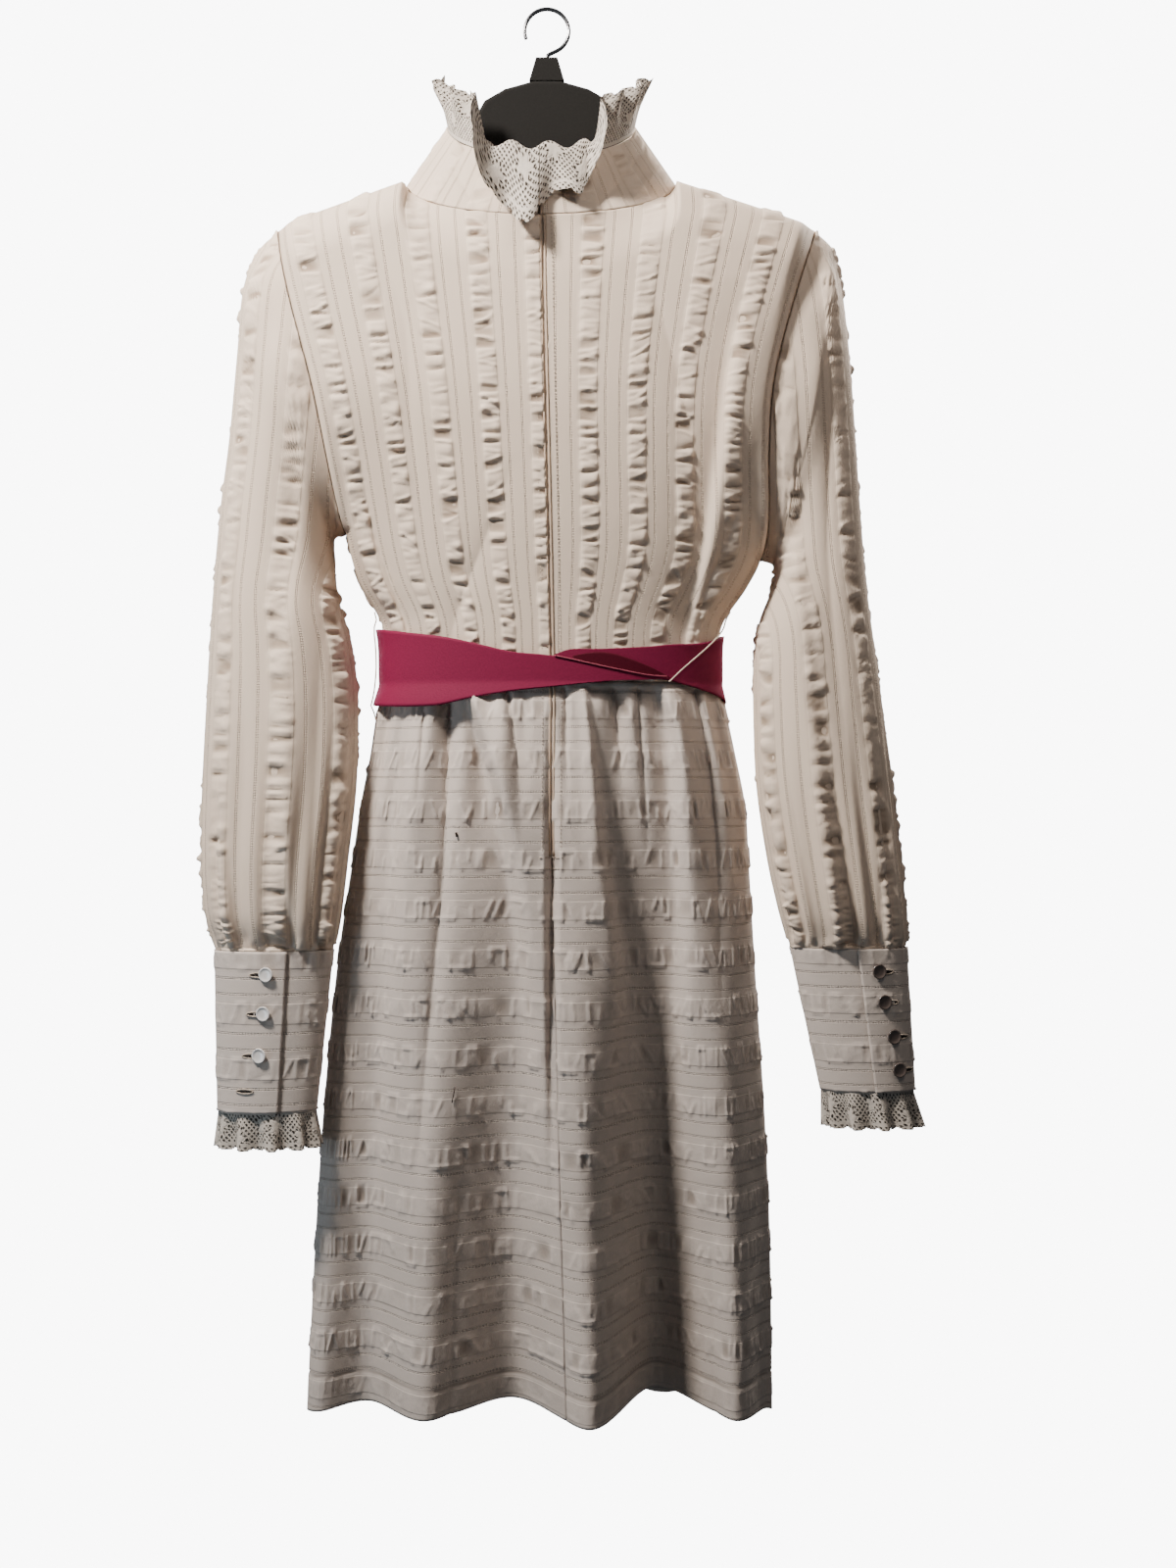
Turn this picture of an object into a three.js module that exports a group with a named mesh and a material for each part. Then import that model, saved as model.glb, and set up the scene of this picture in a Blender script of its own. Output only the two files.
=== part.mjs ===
// A long-sleeved mini dress hanging on a plastic hanger, seen from its zipped back.
// Millimetres, +Z up. The back of the dress faces -Y and the front faces +Y.
// The origin is the inside of the hook's top, where the hanger rests on a rail.
// A "drop" is a distance below that origin, so z is minus the drop.

import * as THREE from 'three';

// Driving dimensions
const CLOTH = 1.4;
const LACE = 1.0;
const RIBBON = 1.2;
const SEAM = 0.4;
const COLLAR_SEAM = 1.0;
const LACE_SEAM = 0.6;
const CUFF_SEAM = 0.6;
const ARMHOLE_SEAM = 0.9;

const WAIST_DROP = 503;
const HEM_DROP_BACK = 1032;
const HEM_DROP_FRONT = 1050;
const SHOULDER_HALF = 200;
const SHOULDER_TIP_DROP = 164;
const SHOULDER_NECK_DROP = 130;
const SHOULDER_ROUND = 45;
const ARMHOLE = { depth: 46, roundness: 0.45 };
const BODY_ROUNDNESS = 0.75;

const NECK = { centre: -4, half: 100, back: 52, front: 58, backDip: 39, frontDip: 60 };
const COLLAR_TOP = { half: 70, back: 42, front: 45, drop: 86, backDip: 31, frontDip: 16 };
const COLLAR_LACE = { width: 38, extraAtBack: 9, turn: 5, waves: 16, ruffle: 6 };
const CUFF_LACE = { width: 27, waves: 12, ruffle: 5, flare: 5 };

const ZIP_END_DROP = 627;
const ZIP_TOP_DROP = 123;
const ZIP_HALF_GAP = 2.2;
const ZIP_CLOSES = 6;
const ZIP_TAPE = { width: 12, thick: 0.8, behind: 2.4 };
const ZIP_COIL = { width: 3, thick: 1.3 };
const ZIP_ROWS = 16;
const SLIDER = { tip: 6, tipHalf: 2.5, shoulder: 3, half: 4, thick: 2.6, sunk: 1.2, below: 12 };

const BODICE_ROWS = 12;
const BODICE_ROWS_AT_ENDS = 0.6;
const BODICE_MEAN_HALF = 145;
const SKIRT_ROWS = { besideZip: 3, below: 6 };
const GATHERS = {
  around: 24, depth: 3.2, uneven: 0.8, reach: 175, tightUntil: 21, tightShare: 0.3,
  clearOfZip: 5, zipFade: 6,
};
const FOLDS = { startDrop: 560, growth: 1.4 };
const SLEEVE_GATHERS = {
  around: 8, depth: 3, capShare: 0.6, capRow: 1, capRows: 1.2, cuffFrom: 7, cuffRows: 2,
};

const HOOK = { wire: 3, radius: 16.5, stemEnd: 35.7 };
const TAB = { top: 16, bottom: 26, from: 36, to: 53, thick: 8 };
const HANGER = { thick: 12, bevel: 3, underCloth: 1.8 };
const BUTTON = { radius: 4.7, thick: 2.2, sides: 10, off: 0.5 };
const BUTTON_PROFILE = [[0, 0], [0.9, 0], [1, 0.5], [0.85, 1], [0.55, 0.7], [0, 0.7]];

// Tables: a row for each section or fold, read on a smooth curve through the rows
function table(names, rows) {
  const columns = names.split(' ');
  const last = rows.length - 1;
  return (name, at) => {
    const c = columns.indexOf(name);
    let k = 0;
    while (k < last - 1 && rows[k + 1][0] < at) k += 1;
    const slope = (i) => {
      const before = rows[Math.max(i - 1, 0)];
      const after = rows[Math.min(i + 1, last)];
      return (after[c] - before[c]) / (after[0] - before[0]);
    };
    const [p, q] = [rows[k], rows[k + 1]];
    const span = q[0] - p[0];
    const t = Math.min(Math.max((at - p[0]) / span, 0), 1);
    const ease = t * t * (3 - 2 * t);
    const bend = t * (1 - t) * ((1 - t) * slope(k) - t * slope(k + 1)) * span;
    return p[c] + (q[c] - p[c]) * ease + bend;
  };
}

// The centre back line, where the zip and the seam below it run
const centreBack = table('drop x', [
  [86, -3], [169, -2], [503, 5], [627, 5], [1032, 15],
]);

// Half-widths to the side seams and armholes, and the reach to the back and front
const bodiceSize = table('drop left right back front', [
  [164, 200, 200, 52, 52],
  [228, 184, 179, 58, 58],
  [288, 168, 164, 62, 62],
  [340, 158, 161, 62, 62],
  [386, 150, 162, 61, 61],
  [410, 145, 159, 60, 60],
  [430, 138, 149, 59, 59],
  [460, 122, 130, 58, 58],
  [503, 119, 127, 57, 57],
]);

const skirtSize = table('drop left right back front', [
  [503, 119, 127, 57, 57],
  [520, 124, 131, 60, 60],
  [555, 130, 139, 62, 62],
  [593, 138, 147, 62, 64],
  [631, 144, 150, 60, 66],
  [715, 156, 155, 55, 70],
  [820, 166, 162, 45, 75],
  [912, 172, 166, 38, 80],
  [1050, 179, 168, 30, 85],
]);

// Ridges (out is plus) and hollows (out is minus) of the hanging skirt at its hem
const hemFolds = table('angle out', [
  [-90, 0], [-70, 4], [-50, -25], [-31, 26], [-12, -27], [7, 36], [26, -52], [52, 30],
  [74, -5], [90, 0], [108, -6], [128, 22], [152, -22], [176, 28], [203, -30], [228, 26],
  [250, -18], [270, 0],
]);

// Sleeve sections from the armhole down: the outer point, the inner point and the depth
const sleeveRows = {
  left: [
    [-213, 180, -158, 393, 49, 0],
    [-225, 208, -159, 401, 47, 0],
    [-230, 258, -158, 411, 44, 0],
    [-235, 318, -157, 426, 41, -3],
    [-241, 372, -152, 446, 40, -7],
    [-245, 432, -143, 476, 40, -13],
    [-248, 500, -138, 520, 39, -19],
    [-250, 570, -139, 575, 38, -24],
    [-250, 630, -145, 630, 36, -28],
    [-247, 668, -149, 668, 31, -31],
    [-242, 686, -152, 687, 25, -32],
  ],
  right: [
    [212, 180, 168, 413, 49, 0],
    [219, 208, 169, 419, 47, 0],
    [225, 258, 169, 427, 44, 0],
    [229, 318, 165, 438, 41, -3],
    [232, 372, 158, 455, 40, -7],
    [236, 432, 153, 480, 40, -13],
    [244, 500, 152, 520, 39, -19],
    [252, 570, 154, 575, 38, -24],
    [258, 630, 162, 630, 36, -28],
    [261, 668, 169, 664, 31, -31],
    [262, 686, 174, 683, 25, -32],
  ],
};
const armpitDrop = { left: 390, right: 410 };

// Cuffs: centre, half-width and drop at the top and the bottom edge
const cuffs = {
  left: { top: [-197, 43, 696], bottom: [-202, 36, 812], from: -20, to: 376, lifted: 'end' },
  right: { top: [219, 42, 694], bottom: [233, 34, 797], from: 5, to: 402, lifted: 'start' },
};
const CUFF = {
  y: -32, topDepth: 20, bottomDepth: 18, overlapLift: 2, overlapShare: 0.12, overlapFade: 0.2,
};

// Buttons: their x and drop; the left cuff has lost its fourth
const buttonPlaces = {
  left: [[-199, 712], [-201, 740], [-204, 770]],
  right: [[238, 710], [242, 732], [249, 757], [253, 781]],
};

// The ribbon's upper and lower edge round the waist; it twists at the back
const ribbonLeft = table('angle top bottom', [
  [-88, 462, 517], [-75, 463, 519], [-40, 470, 520], [-27, 475, 515], [-13, 482, 510],
  [0, 485, 507], [18, 493, 503], [33, 498.5, 501.6], [42, 499.4, 501],
]);
const ribbonRight = table('angle top bottom', [
  [0, 485, 486.5], [6, 480.5, 489], [16, 480, 493], [33, 478, 499.5], [43, 476, 502],
  [60, 474, 508], [80, 468, 514], [100, 465, 517], [180, 464, 518], [272, 462, 517],
]);
const RIBBON_LEFT = { from: -87.6, to: 42, off: 5.4 };
const RIBBON_RIGHT = { from: 0.5, to: 271.8, off: 3.6 };

// How far the lace turns over from standing up: 0 stands and 180 hangs
const laceTurn = table('angle turn', [
  [-180, 12], [-90, 12], [-36, 15], [-25, 60], [-15, 150], [0, 168], [20, 160], [29, 90],
  [38, 22], [90, 12], [180, 12],
]);

// Small helpers
const rad = THREE.MathUtils.degToRad;
const sind = (a) => Math.sin(rad(a));
const cosd = (a) => Math.cos(rad(a));
const lerp = THREE.MathUtils.lerp;
const smooth = (t) => THREE.MathUtils.smoothstep(t, 0, 1);
const vec = (x, y, z) => new THREE.Vector3(x, y, z);

// A wall of cloth: a grid of outer points, the same grid moved in, and rims round its edges.
// pointAt takes u along the piece and v up it, both from 0 to 1. keepInner may hold the
// inner points back from a neighbour.
function clothWall(columns, rows, pointAt, thickness, round = false, keepInner = null) {
  const across = round ? columns : columns + 1;
  const step = 1e-3;
  const normalAt = (u, v) => {
    const u0 = round ? u - step : Math.max(u - step, 0);
    const u1 = round ? u + step : Math.min(u + step, 1);
    const along = pointAt(u1, v).sub(pointAt(u0, v));
    const up = pointAt(u, Math.min(v + step, 1)).sub(pointAt(u, Math.max(v - step, 0)));
    return along.cross(up).normalize();
  };
  const outer = [];
  const inner = [];
  for (let j = 0; j <= rows; j += 1) {
    for (let i = 0; i < across; i += 1) {
      const [u, v] = [i / columns, j / rows];
      const p = pointAt(u, v);
      outer.push(...p);
      p.addScaledVector(normalAt(u, v), -thickness);
      if (keepInner) keepInner(p);
      inner.push(...p);
    }
  }
  const layer = across * (rows + 1);
  const at = (i, j) => (i % across) + j * across;
  const index = [];
  const quad = (a, b, c, d) => index.push(a, b, c, a, c, d);
  for (let j = 0; j < rows; j += 1) {
    for (let i = 0; i < columns; i += 1) {
      const [a, b, c, d] = [at(i, j), at(i + 1, j), at(i + 1, j + 1), at(i, j + 1)];
      quad(a, b, c, d);
      quad(a + layer, d + layer, c + layer, b + layer);
    }
  }
  for (let i = 0; i < columns; i += 1) {
    const [a, b] = [at(i, 0), at(i + 1, 0)];
    const [c, d] = [at(i, rows), at(i + 1, rows)];
    quad(a, a + layer, b + layer, b);
    quad(c, d, d + layer, c + layer);
  }
  for (let j = 0; j < rows && !round; j += 1) {
    const [a, b] = [at(0, j), at(0, j + 1)];
    const [c, d] = [at(columns, j), at(columns, j + 1)];
    quad(a, b, b + layer, a + layer);
    quad(c, c + layer, d + layer, d);
  }
  const geometry = new THREE.BufferGeometry();
  const position = new Float32Array([...outer, ...inner]);
  geometry.setAttribute('position', new THREE.BufferAttribute(position, 3));
  geometry.setIndex(index);
  geometry.computeVertexNormals();
  return geometry;
}

// A round rod along a smooth line through points
function rod(points, radius, steps, sides) {
  const section = new THREE.Shape();
  for (let i = 0; i < sides; i += 1) {
    const a = (i / sides) * Math.PI * 2;
    const [x, y] = [radius * Math.cos(a), radius * Math.sin(a)];
    if (i === 0) section.moveTo(x, y);
    else section.lineTo(x, y);
  }
  section.closePath();
  const path = new THREE.CatmullRomCurve3(points);
  return new THREE.ExtrudeGeometry(section, { steps, extrudePath: path, bevelEnabled: false });
}

// Body of the dress
// Angle 0 is the centre back, 90 the right side seam, 180 the front and 270 the left.
function ringPoint(size, angle, drop, hollow = 0) {
  const across = sind(angle);
  const middle = centreBack('x', drop);
  const half = across < 0 ? size('left', drop) + middle : size('right', drop) - middle;
  const back = cosd(angle) >= 0;
  const depth = size(back ? 'back' : 'front', drop);
  const reach = hollow + (depth - hollow) * Math.abs(cosd(angle)) ** BODY_ROUNDNESS;
  return vec(middle + across * half, back ? -reach : reach, -drop);
}

function armholeReach(side, drop) {
  const middle = (SHOULDER_TIP_DROP + armpitDrop[side]) / 2;
  const half = (armpitDrop[side] - SHOULDER_TIP_DROP) / 2;
  const c = (drop - middle) / half;
  return Math.abs(c) >= 1 ? 0 : ARMHOLE.depth * (1 - c * c) ** ARMHOLE.roundness;
}

// Where a column of the bodice ends: on the neck seam or on the shoulder seam
function bodiceTop(angle) {
  const x = ringPoint(bodiceSize, angle, SHOULDER_TIP_DROP).x;
  const back = cosd(angle) >= 0;
  const s = (x - NECK.centre) / NECK.half;
  if (Math.abs(s) < 1) {
    const c = Math.sqrt(1 - s * s);
    const drop = SHOULDER_NECK_DROP + c * (back ? NECK.backDip : NECK.frontDip);
    return { drop, y: back ? -NECK.back * c : NECK.front * c };
  }
  const neck = NECK.half + Math.sign(x) * NECK.centre;
  const t = (Math.abs(x) - neck) / (SHOULDER_HALF - neck);
  return { drop: lerp(SHOULDER_NECK_DROP, SHOULDER_TIP_DROP, t), y: 0 };
}

function bodicePoint(angle, drop) {
  const side = sind(angle) < 0 ? 'left' : 'right';
  const top = bodiceTop(angle);
  const p = ringPoint(bodiceSize, angle, drop, armholeReach(side, drop));
  const s = Math.min((drop - top.drop) / SHOULDER_ROUND, 1);
  const rolled = Math.sqrt(Math.max(1 - (1 - s) ** 2, 0));
  const onNeck = smooth(Math.abs(top.y) / (NECK.back / 2));
  p.y = top.y + (p.y - top.y) * lerp(rolled, s, onNeck);
  return p;
}

// The panels part for the zip, and meet in a seam below its end
function zipHalfGap(drop) {
  const below = Math.min(Math.max((drop - ZIP_END_DROP) / ZIP_CLOSES, 0), 1);
  return lerp(ZIP_HALF_GAP, SEAM / 2, below);
}

// Moves an angle on the back off the zip, by less the further it is from it
function clearOfZip(angle, drop, half) {
  const clear = THREE.MathUtils.radToDeg(zipHalfGap(drop) / half);
  return angle + (angle < 0 ? -1 : 1) * clear * (1 - Math.abs(angle) / 90);
}

// Half of a bodice's columns end on the neck seam, where the collar's columns begin
function bodiceAngle(quarter, share) {
  const side = quarter === 'right' ? 1 : -1;
  const middle = centreBack('x', SHOULDER_TIP_DROP);
  const neckX = (turn) => NECK.centre + side * NECK.half * sind(turn);
  const angleAt = (x) => THREE.MathUtils.radToDeg(
    Math.asin((side * (x - middle)) / (SHOULDER_HALF - side * middle)),
  );
  if (share < 0.5) return Math.max(angleAt(neckX(180 * share)), 0);
  return lerp(angleAt(neckX(90)), 90, 2 * share - 1);
}

function bodiceColumn(panel, u) {
  if (panel === 'back_right') return bodiceAngle('right', u);
  if (panel === 'back_left') return -bodiceAngle('left', 1 - u);
  const inside = 1e-3;
  if (u < 0.5) return 180 - Math.min(bodiceAngle('right', 1 - 2 * u), 90 - inside);
  return 180 + Math.min(bodiceAngle('left', 2 * u - 1), 90 - inside);
}

// Rows lie closer together at the shoulder and at the waist
function rowShare(v) {
  const down = 1 - v;
  const eased = (1 - Math.cos(Math.PI * down)) / 2;
  return lerp(down ** 1.5, eased, BODICE_ROWS_AT_ENDS);
}

function bodicePanel(panel, columns) {
  const front = panel === 'front';
  return clothWall(columns, BODICE_ROWS, (u, v) => {
    let angle = bodiceColumn(panel, u);
    if (panel === 'back_left') angle = Math.min(angle, -1e-9);
    if (!front) angle = clearOfZip(angle, WAIST_DROP, BODICE_MEAN_HALF);
    const top = bodiceTop(angle).drop;
    const drop = top + (WAIST_DROP - SEAM - top) * rowShare(v);
    const p = bodicePoint(angle, drop);
    p.y += front ? SEAM / 2 : -SEAM / 2;
    return p;
  }, CLOTH, false, (p) => {
    p.y = front ? Math.max(p.y, SEAM / 2) : Math.min(p.y, -SEAM / 2);
  });
}

// Skirt: gathers under the waist that run out, and deep folds that grow towards the hem
function skirtPoint(angle, drop) {
  const p = ringPoint(skirtSize, angle, drop);
  const hung = (drop - FOLDS.startDrop) / (HEM_DROP_BACK - FOLDS.startDrop);
  const grown = Math.max(hung, 0) ** FOLDS.growth;
  const turned = angle > 270 ? angle - 360 : angle;
  const face = Math.sqrt(Math.abs(cosd(angle)));
  const below = drop - WAIST_DROP;
  const opened = lerp(GATHERS.tightShare, 1, smooth(below / GATHERS.tightUntil));
  const fade = opened * (1 - smooth(below / GATHERS.reach));
  const fromZip = smooth((Math.abs(turned) - GATHERS.clearOfZip) / GATHERS.zipFade);
  const wave = Math.cos(rad(GATHERS.around * angle) + GATHERS.uneven * sind(3 * angle));
  const gather = GATHERS.depth * wave * fade * fromZip;
  const out = hemFolds('out', turned) * grown * face + gather * face;
  p.y += cosd(angle) >= 0 ? -out : out;
  p.x += gather * sind(angle) * (1 - face);
  return p;
}

function hemDrop(angle) {
  return lerp(HEM_DROP_BACK, HEM_DROP_FRONT, (1 - cosd(angle)) / 2);
}

// Rows beside the zip, one where it closes, and rows below
function skirtDrop(v, hem) {
  const { besideZip, below } = SKIRT_ROWS;
  const place = (1 - v) * (besideZip + 1 + below);
  const seam = ZIP_END_DROP + ZIP_CLOSES;
  if (place < besideZip) return lerp(WAIST_DROP, ZIP_END_DROP, place / besideZip);
  if (place < besideZip + 1) return lerp(ZIP_END_DROP, seam, place - besideZip);
  return lerp(seam, hem, (place - besideZip - 1) / below);
}

function skirtPanel(panel, columns) {
  const front = panel === 'front';
  const ends = { back_right: [0, 90], back_left: [-90, -1e-9], front: [90.001, 269.999] };
  const rows = SKIRT_ROWS.besideZip + 1 + SKIRT_ROWS.below;
  return clothWall(columns, rows, (u, v) => {
    let angle = lerp(...ends[panel], u);
    const drop = skirtDrop(v, hemDrop(angle));
    if (!front) angle = clearOfZip(angle, drop, skirtSize('right', drop));
    const p = skirtPoint(angle, drop);
    p.y += front ? SEAM / 2 : -SEAM / 2;
    return p;
  }, CLOTH);
}

// Stand collar
function collarPoint(angle, v) {
  const back = cosd(angle) >= 0;
  const c = Math.abs(cosd(angle));
  const base = vec(
    NECK.centre + NECK.half * sind(angle),
    back ? -NECK.back * c : NECK.front * c,
    -(SHOULDER_NECK_DROP + c * (back ? NECK.backDip : NECK.frontDip)) + COLLAR_SEAM,
  );
  const top = vec(
    NECK.centre + COLLAR_TOP.half * sind(angle),
    back ? -COLLAR_TOP.back * c : COLLAR_TOP.front * c,
    -(COLLAR_TOP.drop + c * (back ? COLLAR_TOP.backDip : COLLAR_TOP.frontDip)),
  );
  return base.lerp(top, v);
}

// The collar opens at the zip, a little to the left of the neck's middle
const COLLAR_OPENS = { right: 2.6, left: 1 };
function collarAngle(u) {
  const angle = 360 * u;
  return Math.min(Math.max(angle, COLLAR_OPENS.right), 360 - COLLAR_OPENS.left);
}

const collar = clothWall(24, 2, (u, v) => collarPoint(collarAngle(u), v), CLOTH);

// Lace on the collar: it stands at the sides and falls outwards over the zip
function collarLacePoint(u, v) {
  const angle = collarAngle(u);
  const turned = angle > 180 ? angle - 360 : angle;
  const hanging = rad(laceTurn('turn', turned));
  const width = COLLAR_LACE.width + COLLAR_LACE.extraAtBack * Math.max(-Math.cos(hanging), 0);
  const s = v * width;
  const now = Math.min(s / COLLAR_LACE.turn, hanging);
  const straight = s - now * COLLAR_LACE.turn;
  const wave = Math.sin(rad(COLLAR_LACE.waves * angle)) * COLLAR_LACE.ruffle * v * smooth(v);
  const out = COLLAR_LACE.turn * (1 - Math.cos(now)) + straight * Math.sin(now);
  const up = COLLAR_LACE.turn * Math.sin(now) + straight * Math.cos(now);
  const p = collarPoint(angle, 1);
  const aside = vec(sind(angle), -cosd(angle), 0);
  p.addScaledVector(aside, out + wave * Math.cos(now));
  p.z += LACE_SEAM + up - wave * Math.sin(now);
  return p;
}
const collarLace = clothWall(64, 5, collarLacePoint, LACE);

// Sleeves: the first section is the armhole, and the last is the top of the cuff
function cuffRing(side, angle, v) {
  const { top, bottom } = cuffs[side];
  const half = lerp(bottom[1], top[1], v);
  const depth = lerp(CUFF.bottomDepth, CUFF.topDepth, v);
  return {
    centre: vec(lerp(bottom[0], top[0], v), CUFF.y, -lerp(bottom[2], top[2], v)),
    out: vec(half * sind(angle), -depth * cosd(angle), 0),
  };
}

// Angle 0 on a sleeve is its outer edge, 90 the back and 180 the inner edge.
function sleeveSection(side, row, angle) {
  const hand = side === 'left' ? -1 : 1;
  if (row === 0) {
    const middle = (SHOULDER_TIP_DROP + armpitDrop[side]) / 2;
    const drop = middle - ((armpitDrop[side] - SHOULDER_TIP_DROP) / 2) * cosd(angle);
    const p = bodicePoint(90 * hand, drop);
    p.y = Math.abs(p.y) * (sind(angle) < 0 ? 1 : -1);
    p.x += hand * ARMHOLE_SEAM;
    return p;
  }
  const rows = sleeveRows[side];
  if (row > rows.length) {
    const { centre, out } = cuffRing(side, hand * (90 - angle), 1);
    return centre.add(out).add(vec(0, 0, CUFF_SEAM));
  }
  const [outX, outDrop, inX, inDrop, depth, y] = rows[row - 1];
  const c = cosd(angle);
  return vec(
    (outX + inX) / 2 + ((outX - inX) / 2) * c,
    y - depth * sind(angle),
    -((outDrop + inDrop) / 2 + ((outDrop - inDrop) / 2) * c),
  );
}

function sleeve(side) {
  const hand = side === 'left' ? -1 : 1;
  const count = sleeveRows[side].length + 1;
  return clothWall(32, count, (u, v) => {
    const angle = -hand * 360 * u;
    const place = (1 - v) * count;
    const row = Math.min(Math.floor(place), count - 1);
    const p = sleeveSection(side, row, angle).lerp(
      sleeveSection(side, row + 1, angle),
      place - row,
    );
    const { around, depth, capShare, capRow, capRows, cuffFrom, cuffRows } = SLEEVE_GATHERS;
    const onTop = smooth((cosd(angle) + 0.3) / 0.8);
    const nearCap = Math.exp(-(((place - capRow) / capRows) ** 2)) * onTop * smooth(place);
    const nearCuff = smooth((place - cuffFrom) / cuffRows) * smooth(count - place);
    const out = depth * Math.cos(rad(around * angle)) * (capShare * nearCap + nearCuff);
    p.x += out * hand * cosd(angle);
    p.y -= out * sind(angle);
    return p;
  }, CLOTH, true);
}

// Cuffs: a band whose buttonhole end laps over its button end
function cuffPoint(side, u, v) {
  const { from, to, lifted } = cuffs[side];
  const fromLap = lifted === 'end' ? 1 - u : u;
  const lift = 1 - smooth((fromLap - CUFF.overlapShare) / CUFF.overlapFade);
  const { centre, out } = cuffRing(side, lerp(from, to, u), v);
  const away = vec(out.x, out.y, 0).normalize();
  return centre.add(out).addScaledVector(away, CUFF.overlapLift * lift);
}
const cuff = (side) => clothWall(36, 2, (u, v) => cuffPoint(side, u, v), CLOTH);

function cuffLace(side) {
  return clothWall(48, 2, (u, v) => {
    const angle = 360 * u;
    const { centre, out } = cuffRing(side, angle, 0);
    const away = vec(out.x, out.y, 0).normalize();
    const wave = CUFF_LACE.ruffle * Math.sin(rad(CUFF_LACE.waves * angle)) * (1 - v);
    const p = centre.add(out).addScaledVector(away, CUFF_LACE.flare * (1 - v) + wave);
    p.z -= LACE_SEAM + CUFF_LACE.width * (1 - v);
    return p;
  }, LACE, true);
}

// Buttons: a disc with a raised rim, standing on the cuff's lapped end
function button(side, x, drop) {
  const { top, bottom } = cuffs[side];
  const v = (bottom[2] - drop) / (bottom[2] - top[2]);
  const middle = lerp(bottom[0], top[0], v);
  const half = lerp(bottom[1], top[1], v) + CUFF.overlapLift;
  const angle = THREE.MathUtils.radToDeg(Math.asin((x - middle) / half));
  const { centre, out } = cuffRing(side, angle, v);
  const depth = lerp(CUFF.bottomDepth, CUFF.topDepth, v);
  const away = vec(sind(angle) / half, -cosd(angle) / depth, 0).normalize();
  const { radius, thick, sides } = BUTTON;
  const profile = BUTTON_PROFILE.map(([r, h]) => new THREE.Vector2(r * radius, h * thick));
  const geometry = new THREE.LatheGeometry(profile, sides);
  const turn = new THREE.Quaternion().setFromUnitVectors(vec(0, 1, 0), away);
  geometry.applyQuaternion(turn);
  const lapped = out.clone().normalize().multiplyScalar(CUFF.overlapLift);
  const place = centre.add(out).add(lapped).addScaledVector(away, BUTTON.off);
  return geometry.translate(...place);
}

// The centre back from the collar down, for the zip
function backPoint(x, drop) {
  const seam = SHOULDER_NECK_DROP + NECK.backDip;
  if (drop < seam) {
    const topDrop = COLLAR_TOP.drop + COLLAR_TOP.backDip;
    const v = (seam - drop) / (seam - topDrop);
    return vec(x, -lerp(NECK.back, COLLAR_TOP.back, v), -drop);
  }
  const size = drop < WAIST_DROP ? bodiceSize : skirtSize;
  const p = drop < WAIST_DROP ? bodicePoint(0, drop) : skirtPoint(0, drop);
  const angle = (x - centreBack('x', drop)) / size('right', drop);
  return vec(x, p.y * Math.abs(Math.cos(angle)) ** BODY_ROUNDNESS, -drop);
}

function zipStrip(width, thickness, behind, columns) {
  return clothWall(columns, ZIP_ROWS, (u, v) => {
    const drop = lerp(ZIP_END_DROP - 1, ZIP_TOP_DROP, v);
    const x = centreBack('x', drop) + (u - 0.5) * width;
    return backPoint(x, drop).add(vec(0, behind, 0));
  }, thickness);
}

function zipSlider() {
  const outline = new THREE.Shape();
  outline.moveTo(-SLIDER.tipHalf, -SLIDER.tip);
  outline.lineTo(SLIDER.tipHalf, -SLIDER.tip);
  outline.lineTo(SLIDER.half, SLIDER.shoulder);
  outline.absarc(0, SLIDER.half, SLIDER.half, 0, Math.PI, false);
  outline.lineTo(-SLIDER.half, SLIDER.shoulder);
  outline.closePath();
  const options = { depth: SLIDER.thick, bevelEnabled: false, curveSegments: 4 };
  const geometry = new THREE.ExtrudeGeometry(outline, options);
  geometry.rotateX(Math.PI / 2);
  const drop = ZIP_TOP_DROP + SLIDER.below;
  const p = backPoint(centreBack('x', drop), drop);
  return geometry.translate(p.x, p.y - SLIDER.sunk, p.z);
}

// A point a set distance outside the body of the dress, level with it
function offRing(size, angle, drop, off) {
  const along = ringPoint(size, angle + 0.5, drop).sub(ringPoint(size, angle - 0.5, drop));
  const away = vec(along.y, -along.x, 0).normalize();
  return ringPoint(size, angle, drop).addScaledVector(away, off);
}

// The ribbon follows the waist, a set distance outside it
function ribbon(edges, place, columns) {
  return clothWall(columns, 2, (u, v) => {
    const angle = lerp(place.from, place.to, u);
    const drop = lerp(edges('bottom', angle), edges('top', angle), v);
    const size = drop < WAIST_DROP ? bodiceSize : skirtSize;
    return offRing(size, angle, drop, place.off);
  }, RIBBON);
}

// Thread loops that carry the ribbon at the side seams: angle, drop and distance off the waist
const THREAD = 0.6;
const loopPlaces = {
  right: [
    [42, 503, 6.3], [47, 495, 6.6], [54, 486, 6.6], [62, 477, 6.7], [70, 468, 6.7],
    [76, 461, 4.9], [80, 455, 2.2], [84, 449, 0.9],
  ],
  left: [
    [-84, 449, 0.9], [-84, 455, 2.6], [-84, 461, 6.3], [-84, 475, 7.2], [-84, 492, 7.2],
    [-84, 510, 7.2], [-84, 519, 6.5], [-84, 524, 3], [-84, 529, 0.9],
  ],
};
function threadLoop(side) {
  const points = loopPlaces[side].map(([angle, drop, off]) => {
    const size = drop < WAIST_DROP ? bodiceSize : skirtSize;
    return offRing(size, angle, drop, off);
  });
  return rod(points, THREAD, 14, 6);
}

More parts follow.
